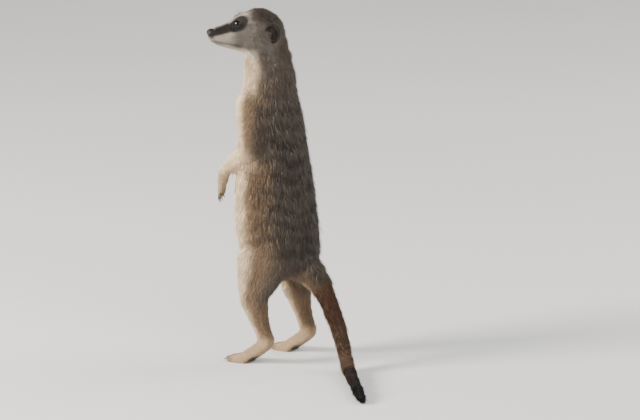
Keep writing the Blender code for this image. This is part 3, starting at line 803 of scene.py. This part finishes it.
def skin_values(skin, owner):
    """Everything that the locks read off the skin."""
    mesh = skin.data
    web = Neighbours(mesh)
    places, normals = places_of(mesh), normals_of(mesh)
    local = in_head(places)
    table = np.array([COAT[part] for part in PARTS])[owner]
    extra, head = on(owner, "ear", "lid"), on(owner, *HEAD)
    blended = web.spread(table[:, :4], PARTS_BLEND)
    blended[extra] = table[extra, :4]
    fine = np.where(head, ramp(local[:, 0], 0.002, 0.036), 0.0)
    by_eye = np.where(head, 1.0 - ramp(eye_gap(places), 0.007, 0.016), 0.0)
    nape = np.where(head, ramp(-local[:, 0], -0.004, 0.016), 0.0)
    shorter = np.where(on(owner, "lower_jaw"), 0.25, 0.68)
    blended[:, 0] *= (1.0 - shorter * fine + 0.30 * nape) * (1.0 - 0.45 * by_eye)
    blended[:, 0] *= 1.0 - 0.35 * toe_shapes(places)[0]
    blended[:, 1] *= 1.0 - 0.35 * fine
    blended[:, 2] *= 1.0 + 0.5 * fine

    shares = {}
    for index, part in enumerate(PARTS):
        mine = (owner == index).astype(float)
        shares[part] = mine if part in ("ear", "lid") else web.spread(mine, PARTS_BLEND // 2)
    facing = unit(web.spread(normals, 30))
    facing[extra] = normals[extra]
    colour, grizzle = markings_and_shade(places, facing, lambda *parts: sum(shares[part] for part in parts))

    lie = lie_of(places, owner)
    lie = np.where(extra[:, None], lie, web.spread(lie, PARTS_BLEND))
    return {
        "places": places, "normals": normals, "lie": lie, "colour": colour, "grizzle": grizzle,
        "length": blended[:, 0], "width": blended[:, 1], "lift": blended[:, 3],
        "density": blended[:, 2] * (1.0 - bare_skin(places, facing, owner, extra, head)),
        "swirl": mottle(places, 0.011, 4), "ruffle": mottle(places, 0.006, 5),
    }


def bare_skin(places, facing, owner, extra, head):
    """1 where no hair grows: the nose, the lips, the soles, and below and at the edges of the lids."""
    local = in_head(places)
    bare = (1.0 - ramp(from_nose(places), 1.00, 1.15)) * head
    sole = ramp(-facing[:, 2], 0.45, 0.7) * on(owner, "hind_foot") * (places[:, 2] < 0.004)
    lips = 0.9 * peak(mouth_gap(local), 0.0003) * (local[:, 0] > MOUTH_START + 0.001) * head
    bare = np.maximum(np.maximum(bare, sole), lips)
    for side in SIDES:
        off, turn, height = round_eye(places, side)
        share = (off - opening(turn)) / LID_WIDTH
        near = (height > 0.0) & (away_from(places, EYES[side]) < LID_REACH)
        bare = np.maximum(bare, near & ((share < 0.10) | ((share < 0.95) & ~extra)))
    return bare


# ---- The locks

# A lock's corners are its root, the left, right and top of its widest part, and its tip
LOCK_FACES = np.array(((0, 3, 1), (0, 2, 3), (0, 1, 2), (4, 1, 3), (4, 3, 2), (4, 2, 1)))
LOCK_PATCH = 0.003 * np.array(((0.0, -0.5), (-0.5, 0.0), (0.5, 0.0), (0.0, 0.15), (0.0, 0.5)))
LOCK_BEND = 0.42  # share of a lock's length where it is widest and bends over
LEADER_EVERY = 9  # locks in a clump
ROOT_DEPTH, FLOOR_CLEAR = 0.0003, 0.0002
# How much locks differ: the least and the most of each measure, as shares of it
LENGTHS, WIDTHS, LIFTS = (0.70, 1.15), (0.75, 1.20), (0.75, 1.30)
TONES, GRIZZLES, PULLS = (0.86, 1.14), (0.4, 1.2), (0.10, 0.45)
SWIRL, SWIRL_SPREAD, RUFFLE, ROLL = 0.28, 0.13, 0.35, 0.45
STRAY_SHARE, STRAY_LENGTH, STRAY_LIFT = 0.06, 1.15, 1.5  # the locks that are longer and stand up
LOWER_LIFT, UPPER_LIFT = 1.55, 0.55  # slopes of a lock's halves, as shares of its lift
SAG, THICKNESS = 0.12, 0.55  # how far the bend follows the tip, and height over half width
# Darker lock roots: painted shade deep in the coat, over the hairs' darker bases; a lighter top ridge: painted
# highlight
ROOT_SHADE, TOP_SHADE = 0.72, 1.04
DARK_SHARE, DARK_TIP, PALE_TIP = 0.55, 0.36, 1.60  # how many grizzled tips are dark, and both kinds' shades


class Ground:
    """What the locks grow on: the skin's triangles, and the values kept at its vertices."""

    def __init__(self, skin, owner, values):
        mesh = skin.data
        mesh.calc_loop_triangles()
        self.corners = read(mesh.loop_triangles, "vertices", 3).astype(int)
        loops = read(mesh.loop_triangles, "loops", 3).astype(int)
        self.unwrap = read(mesh.uv_layers["OFBake"].uv, "vector", 2)[loops]
        self.places = places_of(mesh)
        self.normals = normals_of(mesh)
        self.owner = owner[self.corners[:, 0]]
        self.values = values
        a, b, c = (self.places[self.corners[:, index]] for index in range(3))
        self.area = np.linalg.norm(np.cross(b - a, c - a), axis=1) / 2 * 1e6

    def mix(self, name, faces, weights):
        """A value kept at the vertices, read inside some triangles."""
        kept = self.values[name][self.corners[faces]]
        weights = weights.reshape(weights.shape + (1,) * (kept.ndim - 2))
        return (kept * weights).sum(axis=1)


def scatter(ground, chosen, rng):
    """Roots spread evenly over the chosen triangles: the triangle of each, and its place inside it."""
    density = ground.values["density"][ground.corners].mean(axis=1)
    wanted = np.cumsum(np.where(chosen, density * ground.area, 0.0))
    faces = np.searchsorted(wanted, np.arange(int(wanted[-1])) + 0.5)
    weights = rng.dirichlet((1.0, 1.0, 1.0), len(faces))
    return faces, weights


def clumped(roots, tips, rng):
    """Draw the tips of neighbouring locks together."""
    leaders = rng.choice(len(roots), max(1, len(roots) // LEADER_EVERY), replace=False)
    tree = KDTree(len(leaders))
    for index, leader in enumerate(leaders):
        tree.insert(roots[leader], index)
    tree.balance()
    own = leaders[np.array([tree.find(root)[1] for root in roots])]
    pull = rng.uniform(*PULLS, len(roots))[:, None]
    return tips + (tips[own] - tips) * pull


def grow(ground, name, chosen, seed):
    """One piece of the coat."""
    rng = np.random.default_rng(seed)
    faces, weights = scatter(ground, chosen, rng)
    total = len(faces)

    def at_root(name):
        return ground.mix(name, faces, weights)

    roots, normal, lie = at_root("places"), unit(at_root("normals")), at_root("lie")
    lie = unit(lie - normal * (lie * normal).sum(axis=1, keepdims=True))
    across = np.cross(normal, lie)
    swirl = (SWIRL * at_root("swirl") + rng.normal(0.0, SWIRL_SPREAD, total))[:, None]
    lie, across = lie * np.cos(swirl) + across * np.sin(swirl), across * np.cos(swirl) - lie * np.sin(swirl)

    length = at_root("length") * MM * rng.uniform(*LENGTHS, total)
    stray = rng.random(total) < STRAY_SHARE
    length = np.where(stray, length * STRAY_LENGTH, length)
    width = at_root("width") * MM * rng.uniform(*WIDTHS, total)
    lift = np.radians(at_root("lift")) * (1.0 + RUFFLE * at_root("ruffle")) * rng.uniform(*LIFTS, total)
    lift = np.where(stray, lift * STRAY_LIFT, lift)

    first, second = length * LOCK_BEND, length * (1.0 - LOCK_BEND)
    steep, flat = lift * LOWER_LIFT, lift * UPPER_LIFT
    bend = roots + lie * (first * np.cos(steep))[:, None] + normal * (first * np.sin(steep))[:, None]
    tips = bend + lie * (second * np.cos(flat))[:, None] + normal * (second * np.sin(flat))[:, None]
    tips = clumped(roots, tips, rng)
    bend += (tips - roots - (bend - roots) / LOCK_BEND) * SAG

    roll = rng.uniform(-ROLL, ROLL, total)[:, None]
    wide = across * np.cos(roll) + normal * np.sin(roll)
    thick = normal * np.cos(roll) - across * np.sin(roll)
    half = (width / 2)[:, None]
    corners = np.stack((roots - normal * ROOT_DEPTH, bend - wide * half, bend + wide * half,
                        bend + thick * half * THICKNESS, tips), axis=1)
    corners[:, :, 2] = np.maximum(corners[:, :, 2], FLOOR_CLEAR)

    colour = at_root("colour")
    grizzle = (at_root("grizzle") * rng.uniform(*GRIZZLES, total))[:, None]
    dark = (rng.random(total) < DARK_SHARE)[:, None]
    end = np.where(dark, colour * DARK_TIP, colour * PALE_TIP + 0.012)
    tip = colour + (end - colour) * np.clip(grizzle, 0.0, 1.0)
    body = colour * rng.uniform(*TONES, total)[:, None]
    # Roots dimmed as painted shade in the coat, top ridges lightened as a painted highlight
    colours = np.stack((body * ROOT_SHADE, body, body, body * TOP_SHADE, tip), axis=1)

    spots = (ground.unwrap[faces] * weights[:, :, None]).sum(axis=1)
    low, high = spots.min(axis=0), spots.max(axis=0)
    spots = 0.01 + 0.98 * (spots - low) / (high - low)
    return joined_locks(name, corners, colours, spots[:, None] + LOCK_PATCH)


def joined_locks(name, corners, colours, patches):
    """Many locks as one mesh, with their colours and their patches of the unwrap."""
    total = len(corners)
    faces = (LOCK_FACES + 5 * np.arange(total)[:, None, None]).reshape(-1, 3)
    mesh = bpy.data.meshes.new(name)
    mesh.vertices.add(total * 5)
    mesh.vertices.foreach_set("co", corners.ravel())
    mesh.loops.add(faces.size)
    mesh.loops.foreach_set("vertex_index", faces.ravel())
    mesh.polygons.add(len(faces))
    mesh.polygons.foreach_set("loop_start", np.arange(len(faces)) * 3)
    mesh.update(calc_edges=True)
    mesh.shade_smooth()
    paint(mesh, colours.reshape(-1, 3))
    layer = mesh.uv_layers.new(name="OFBake", do_init=False)
    layer.uv.foreach_set("vector", patches.reshape(-1, 2)[faces.ravel()].ravel())
    return show(name, mesh)


def paint(mesh, colours):
    """Keep a colour at each vertex of a mesh."""
    layer = mesh.attributes.new("coat_colour", "FLOAT_COLOR", "POINT")
    rows = np.concatenate((colours, np.ones((len(colours), 1))), axis=1)
    layer.data.foreach_set("color", rows.ravel())


def unwrap(thing):
    """Unwrap the skin's own shape."""
    thing.data.uv_layers.new(name="OFBake")
    bpy.context.view_layer.objects.active = thing
    thing.select_set(True)
    bpy.ops.object.mode_set(mode="EDIT")
    bpy.ops.mesh.select_all(action="SELECT")
    bpy.ops.uv.smart_project(angle_limit=math.radians(60), island_margin=0.002)
    bpy.ops.object.mode_set(mode="OBJECT")
    thing.select_set(False)


# ---- Materials

def new_material(name):
    """An empty material, with its node tree and its shader."""
    made = bpy.data.materials.new(name)
    made.use_nodes = True
    return made, made.node_tree, made.node_tree.nodes["Principled BSDF"]


def feed(tree, node, inputs):
    """Give a node its inputs: a socket is linked, and anything else is set."""
    for name, value in inputs.items():
        if isinstance(value, bpy.types.NodeSocket):
            tree.links.new(value, node.inputs[name])
        else:
            node.inputs[name].default_value = value


def add(tree, kind, inputs, operation=None):
    """A new node, with its inputs."""
    node = tree.nodes.new("ShaderNode" + kind)
    if operation:
        node.operation = operation
    feed(tree, node, inputs)
    return node


def own_places(tree):
    """Places on the object, for textures to read."""
    return add(tree, "TexCoord", {}).outputs["Object"]


def relief(tree, shader, height, strength, depth, inwards=False):
    """Fine relief on a shader, from a height."""
    bump = add(tree, "Bump", {"Height": height, "Strength": strength, "Distance": depth})
    bump.invert = inwards
    feed(tree, shader, {"Normal": bump.outputs["Normal"]})


GRAIN_SOCKETS = (("Colour", "INPUT", "Color", None), ("Scale", "INPUT", "Float", 400.0),
                 ("Amount", "INPUT", "Float", 0.3), ("Stretch", "INPUT", "Float", 0.35),
                 ("Colour", "OUTPUT", "Color", None), ("Height", "OUTPUT", "Float", None))


def grain_group():
    """Fine streaky variation of a coat's colour, and a height for relief."""
    group = bpy.data.node_groups.new("Coat grain", "ShaderNodeTree")
    for name, way, kind, value in GRAIN_SOCKETS:
        socket = group.interface.new_socket(name, in_out=way, socket_type="NodeSocket" + kind)
        if value:
            socket.default_value = value
    given = group.nodes.new("NodeGroupInput").outputs
    squeeze = add(group, "CombineXYZ", {"X": 1.0, "Y": 1.0, "Z": given["Stretch"]})
    stretched = add(group, "VectorMath", {0: own_places(group), 1: squeeze.outputs["Vector"]}, "MULTIPLY")
    speckle = add(group, "TexNoise", {"Vector": stretched.outputs["Vector"], "Scale": given["Scale"],
                                      "Detail": 4.0, "Roughness": 0.6}).outputs["Fac"]
    swing = add(group, "MapRange", {"Value": speckle, "From Min": 0.3, "From Max": 0.7, "To Min": -1.0})
    share = add(group, "Math", {0: swing.outputs["Result"], 1: given["Amount"], 2: 1.0}, "MULTIPLY_ADD")
    tone = add(group, "VectorMath", {0: given["Colour"], "Scale": share.outputs["Value"]}, "SCALE")
    feed(group, group.nodes.new("NodeGroupOutput"), {"Colour": tone.outputs["Vector"], "Height": speckle})
    return group


def furred(name, group, scale, amount, roughness, bump, shade):
    """A material that shows the coat's kept colours, with fine grain; shade scales the colours down, which on
    the skin is painted shade between the locks.
    """
    made, tree, shader = new_material(name)
    kept = add(tree, "VertexColor", {})
    kept.layer_name = "coat_colour"
    # Scaled down by shade: painted shade where the skin shows between the locks
    dim = add(tree, "VectorMath", {0: kept.outputs["Color"], "Scale": shade}, "SCALE")
    grain = tree.nodes.new("ShaderNodeGroup")
    grain.node_tree = group
    feed(tree, grain, {"Colour": dim.outputs["Vector"], "Scale": scale, "Amount": amount})
    feed(tree, shader, {"Base Color": grain.outputs["Colour"], "Roughness": roughness,
                        "Specular IOR Level": 0.25, "Sheen Weight": 0.06})
    if bump:
        relief(tree, shader, grain.outputs["Height"], 0.6, bump)
    return made


# Each plain finish: the colours along its ramp and its shader's values; the texture and the kept number that
# the ramp reads, and how strongly the first stirs the second; its relief's strength, depth and turn inwards
FINISHES = {
    # Black pupil, deep brown iris with rays, dark edge
    "Wet eye": dict(
        stops=((0.0, (0.002, 0.002, 0.002)), (0.33, (0.002, 0.002, 0.002)),
               (0.37, (0.0060, 0.0030, 0.0018)), (0.50, (0.0090, 0.0043, 0.0024)),
               (0.58, (0.004, 0.002, 0.002)), (0.66, (0.003, 0.002, 0.002))),
        values={"Roughness": 0.08, "Specular IOR Level": 0.22},
        texture=("TexNoise", 1400.0, "Fac"), kept="from_pupil", stir=0.07),
    "Nose skin": dict(
        stops=((0.0, (0.020, 0.014, 0.012)), (0.6, (0.012, 0.009, 0.008)), (1.0, (0.007, 0.006, 0.005))),
        values={"Roughness": 0.50, "Specular IOR Level": 0.30},
        texture=("TexVoronoi", 1900.0, "Distance"), bump=(0.5, 0.0003, True)),
    # Dark horn, paler at the root
    "Claw horn": dict(
        stops=((0.1, (0.115, 0.080, 0.055)), (0.55, (0.050, 0.034, 0.025)), (1.0, (0.022, 0.016, 0.013))),
        values={"Roughness": 0.36},
        texture=("TexNoise", 900.0, "Fac"), kept="along", stir=0.3, bump=(0.3, 0.0001)),
    "Whisker": dict(
        stops=((0.0, (0.016, 0.012, 0.010)), (1.0, (0.070, 0.055, 0.042))),
        values={"Roughness": 0.45}, kept="along"),
    "Pale floor": dict(
        stops=((0.3, (0.74, 0.725, 0.70)), (0.7, (0.77, 0.755, 0.73))),
        values={"Roughness": 0.85}, texture=("TexNoise", 2.0, "Fac")),
}


def plain(name):
    """One of the plain finishes."""
    return ramped(name, **FINISHES[name])


def ramped(name, stops, values, texture=None, kept=None, stir=0.0, bump=None):
    """A material coloured by a ramp, which reads a texture, a number kept on the mesh, or both."""
    made, tree, shader = new_material(name)
    if texture:
        kind, scale, output = texture
        pattern = add(tree, kind, {"Vector": own_places(tree), "Scale": scale}).outputs[output]
        reading = pattern
    if kept:
        number = add(tree, "Attribute", {})
        number.attribute_name = kept
        reading = number.outputs["Fac"]
    if texture and kept:
        reading = add(tree, "Math", {0: pattern, 1: stir, 2: reading}, "MULTIPLY_ADD").outputs["Value"]
    colours = add(tree, "ValToRGB", {"Fac": reading})
    steps = colours.color_ramp.elements
    while len(steps) < len(stops):
        steps.new(0.5)
    for step, (place, colour) in zip(steps, stops):
        step.position = place
        step.color = (*colour, 1.0)
    feed(tree, shader, {"Base Color": colours.outputs["Color"], **values})
    if bump:
        relief(tree, shader, pattern, *bump)
    return made


# ---- The small pieces

EYE_BULGE = 0.035  # how far the clear front stands out, as a share of the eyeball's radius
EYE_BULGE_WIDTH = math.radians(30)


def eyeball(side, material):
    """An eyeball with a clear bulge over its iris."""
    look, inner, rise = eye_axes(side)
    bm = bmesh.new()
    bmesh.ops.create_uvsphere(bm, u_segments=48, v_segments=32, radius=EYE_RADIUS)
    lean = []
    for vert in bm.verts:
        angle = vert.co.angle(Vector((0.0, 0.0, 1.0)))
        vert.co *= 1.0 + EYE_BULGE * math.exp(-(angle / EYE_BULGE_WIDTH) ** 4)
        lean.append(angle / math.pi * 2)
    placed(bm, (inner, rise, look), EYES[side])
    return finished("eyeball_" + side, bm, material, from_pupil=lean)


# The hollows of a nostril, on a pad of radius 1: middle, depth in metres, and width
NOSTRILS = (((0.86, 0.42, -0.12), 0.0016, 0.24), ((0.66, 0.74, -0.02), 0.0010, 0.22))
NOSE_GROOVE, NOSE_GROOVE_WIDTH = 0.0006, 0.10


def nose_pad(material):
    """The bare nose, with two comma-shaped nostrils and a groove below."""
    bm = bmesh.new()
    bmesh.ops.create_uvsphere(bm, u_segments=64, v_segments=48, radius=1.0)
    for vert in bm.verts:
        x, y, z = vert.co
        below = max(0.0, -z)
        place = Vector(NOSE_HALF) * Vector((x * (1.0 - 0.10 * below), y * (1.0 - 0.28 * below), z))
        for spot, depth, width in NOSTRILS:
            far = (Vector((x, abs(y), z)) - Vector(spot)).length
            dip = depth * math.exp(-(far / width) ** 2)
            place -= Vector((0.85, 0.30 * math.copysign(1.0, y), 0.0)) * dip
        if x > 0:
            groove = NOSE_GROOVE * math.exp(-(y / NOSE_GROOVE_WIDTH) ** 2)
            place.x -= groove * float(ramp(np.array(-z), -0.3, 0.3))
        vert.co = place
    placed(bm, HEAD_AXES, from_head(NOSE_PLACE))
    return finished("nose_pad", bm, material)


def spike(bm, steps, turns, spine):
    """A tube round a spine, which gives a middle and two half axes at each share of its length."""
    shares = np.arange(steps + 1) / steps
    rows = []
    for centre, wide, tall in map(spine, shares):
        rows.append([centre + wide * math.cos(turn) + tall * math.sin(turn) for turn in turns])
    loft(bm, rows)
    return list(np.repeat(shares, len(turns)))


CLAW_STEPS, CLAW_SIDES = 7, 10
CLAW_POINT = 0.00012  # radius of a claw's blunt point


def claw(bm, tip, way, across, length, radius, rise, arch):
    """One curved claw, from its root inside the toe to its point."""
    over = unit(np.cross(way, across))

    def spine(share):
        centre = tip + (over * rise - way * length) * (1.0 - share) + over * arch * math.sin(math.pi * share)
        thick = radius * (1.0 - share ** 1.6) + CLAW_POINT
        return centre, across * thick * 0.75, over * thick * 1.1

    return spike(bm, CLAW_STEPS, round_turns(CLAW_SIDES), spine)


def claws(material):
    """All sixteen claws."""
    bm = bmesh.new()
    along = []
    for _, way, across, tips, _, size in paws():
        for rank, tip in enumerate(tips):
            fan = TOE_FAN * (rank - (len(tips) - 1) / 2)
            along += claw(bm, tip, unit(way + across * fan), across, *size)
    return finished("claws", bm, material, along=along)


WHISKER_ROWS = ((-4.6, 0.10), (-6.6, -0.02), (-8.6, -0.16))  # height on the head in mm, and upward lean
WHISKER_STEPS = 5
WHISKER_TURNS = (0.0, 2.1, 4.2)
WHISKER_POINT, WHISKER_TAPER = 0.00002, 0.00010  # radius of the point, and what the root has over it


def whiskers(material):
    """Stiff whiskers on the muzzle and over the eyes, rooted in the head's own frame."""
    rng = np.random.default_rng(11)
    bm = bmesh.new()
    along = []
    for hand in SIDES.values():
        stems = []
        for up, rise in WHISKER_ROWS:
            for index in range(4):
                root = (0.0405 - 0.0034 * index, 0.0066 + 0.0011 * index, up * MM)
                way = (-0.35 - 0.12 * index + rng.normal(0, 0.05), 1.0, rise + rng.normal(0, 0.05))
                stems.append((root, way, 0.008 + 0.0032 * index + rng.uniform(0, 0.002)))
        for index in range(3):
            root = (0.0265 - 0.003 * index, 0.0095 + 0.001 * index, 0.0122)
            stems.append((root, (-0.55 - 0.1 * index, 0.50, 0.60), 0.0065 + rng.uniform(0, 0.002)))
        for root, way, length in stems:
            own_side = np.array((1.0, hand, 1.0))
            along += whisker(bm, from_head(root * own_side), unit(way * own_side) @ HEAD_AXES, length)
    return finished("whiskers", bm, material, along=along)


def whisker(bm, start, way, length):
    """One whisker, which droops back to a fine point."""
    droop = DOWN * 0.25 - AHEAD * 0.35
    side = unit(np.cross(way, UP))
    over = np.cross(side, way)

    def spine(share):
        centre = start + way * length * (share - 0.08) + droop * length * share * share * 0.5
        thick = WHISKER_TAPER * (1.0 - share) + WHISKER_POINT
        return centre, side * thick, over * thick

    return spike(bm, WHISKER_STEPS, WHISKER_TURNS, spine)


# ---- The studio

CAMERA_TURN = math.radians(127)  # from in front of the animal round to its left and behind
CAMERA_AWAY, CAMERA_HEIGHT = 3.3, 0.89
CAMERA_LENS = 222.0
CAMERA_AIM = (-0.012, 0.004, 0.139)
LAMP_AIM = (0.0, -0.03, 0.15)
# Each lamp: its place nearer the camera, to the right and up; its size, power and tint
LAMPS = {
    "key": ((0.45, -1.8, 0.85), 0.7, 106.0, (1.0, 0.94, 0.86)),
    "fill": ((1.5, 0.6, 1.1), 1.4, 18.0, (0.98, 0.98, 1.0)),
    "back": ((-0.6, 1.7, 1.1), 1.4, 34.0, (1.0, 0.98, 0.96)),
}
SKY_TINT, SKY_STRENGTH = (0.93, 0.95, 1.0, 1.0), 0.70
FLOOR_FLAT, FLOOR_SWEEP, FLOOR_RISE = 5.0, 4.0, 1.8  # radius of the flat, then how far it runs on and rises


def swept_floor():
    """A floor that is flat round the animal and rises gently far away."""
    bm = bmesh.new()
    verts = [bm.verts.new((0.0, 0.0, 0.0))]
    for share in np.linspace(0.0, 1.0, 12):
        verts.append(bm.verts.new((FLOOR_FLAT + FLOOR_SWEEP * share, 0.0, FLOOR_RISE * share ** 2)))
    edges = [bm.edges.new(pair) for pair in zip(verts, verts[1:])]
    bmesh.ops.spin(bm, geom=verts + edges, cent=(0, 0, 0), axis=(0, 0, 1), angle=FULL_TURN, steps=96,
                   use_merge=True)
    bmesh.ops.remove_doubles(bm, verts=bm.verts[:], dist=1e-6)
    bm.normal_update()
    if sum(face.normal.z for face in bm.faces) < 0.0:
        bmesh.ops.reverse_faces(bm, faces=bm.faces[:])
    return keep("floor", bm)


def stand(name, data, spot, aim):
    """Set up a lamp or the camera at a spot, looking at another."""
    thing = show(name, data)
    thing.location = Vector(spot)
    thing.rotation_euler = (Vector(aim) - thing.location).to_track_quat("-Z", "Y").to_euler()
    return thing


def studio():
    """Floor, soft lights and camera."""
    floor = swept_floor()
    floor.data.materials.append(plain("Pale floor"))

    world = bpy.data.worlds.new("studio")
    world.use_nodes = True
    feed(world.node_tree, world.node_tree.nodes["Background"], {"Color": SKY_TINT, "Strength": SKY_STRENGTH})
    bpy.context.scene.world = world

    near = np.array((math.sin(CAMERA_TURN), -math.cos(CAMERA_TURN), 0.0))
    right = np.array((math.cos(CAMERA_TURN), math.sin(CAMERA_TURN), 0.0))
    for name, (place, size, power, tint) in LAMPS.items():
        lamp = bpy.data.lights.new(name, "AREA")
        lamp.size, lamp.energy, lamp.color = size, power, tint
        stand(name, lamp, near * place[0] + right * place[1] + UP * place[2], LAMP_AIM)

    camera = bpy.data.cameras.new("camera")
    camera.lens, camera.clip_end = CAMERA_LENS, 30.0
    spot = (middle("hind_foot_left") + middle("hind_foot_right")) / 2 * (1.0, 1.0, 0.0)
    spot += near * CAMERA_AWAY + UP * CAMERA_HEIGHT
    bpy.context.scene.camera = stand("camera", camera, spot, CAMERA_AIM)


# ---- Assembly

# Each piece of the coat: the parts it covers, and its slot in the record
COAT_PIECES = {
    "coat_face": (FACE, "pale_fur"),
    "coat_crown": (("head", "ear"), "back_fur"),
    "coat_neck": (("neck",), "back_fur"),
    "coat_arms": (("upper_arm", "forearm", "forepaw"), "pale_fur"),
    "coat_chest": (("chest",), "back_fur"),
    "coat_belly": (("belly",), "back_fur"),
    "coat_hips": (("hips",), "back_fur"),
    "coat_leg_left": (("thigh", "shank", "hind_foot"), "pale_fur"),
    "coat_leg_right": (("thigh", "shank", "hind_foot"), "pale_fur"),
    "coat_tail": (("tail_root", "tail_upper", "tail_lower", "tail_tip"), "rufous_fur"),
}
FACE_FROM = 0.010  # the face is the head from here on, along the head
FIRST_SEED = 21


def take_place(piece, nodes, slot):
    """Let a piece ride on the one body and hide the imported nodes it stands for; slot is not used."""
    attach(piece, "root")
    if nodes:
        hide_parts(*nodes)


def build_coat(ground, material):
    """All the pieces of the coat."""
    root = ground.places[ground.corners[:, 0]]
    left_half = root[:, 0] > middle("hips")[0]
    face = (in_head(root)[:, 0] > FACE_FROM) & on(ground.owner, *FACE)
    for seed, (name, (parts, slot)) in enumerate(COAT_PIECES.items(), start=FIRST_SEED):
        chosen = face if name == "coat_face" else on(ground.owner, *parts) & ~face
        if name.endswith("_left"):
            chosen = chosen & left_half
        if name.endswith("_right"):
            chosen = chosen & ~left_half
        piece = grow(ground, name, chosen, seed)
        piece.data.materials.append(material)
        take_place(piece, (), slot)


def build():
    """The whole visual model."""
    studio()
    skin, owner = build_skin()
    unwrap(skin)
    values = skin_values(skin, owner)
    paint(skin.data, values["colour"])
    grain = grain_group()
    skin.data.materials.clear()
    # The skin is dimmed to 0.82 of the coat's colour: painted shade between the locks
    skin.data.materials.append(furred("Furred skin", grain, scale=900.0, amount=0.30, roughness=0.85,
                                      bump=0.0006, shade=0.82))
    take_place(skin, FLESH + ["ear_left", "ear_right"], "pale_fur")
    hair = furred("Coat", grain, scale=1500.0, amount=0.15, roughness=0.62, bump=0.0, shade=1.0)
    build_coat(Ground(skin, owner, values), hair)
    wet = plain("Wet eye")
    for side in SIDES:
        take_place(eyeball(side, wet), ["eye_" + side], "eyes")
    take_place(nose_pad(plain("Nose skin")), ["nose"], "nose")
    take_place(claws(plain("Claw horn")), (), "claws")
    take_place(whiskers(plain("Whisker")), (), "dark_fur")


build()
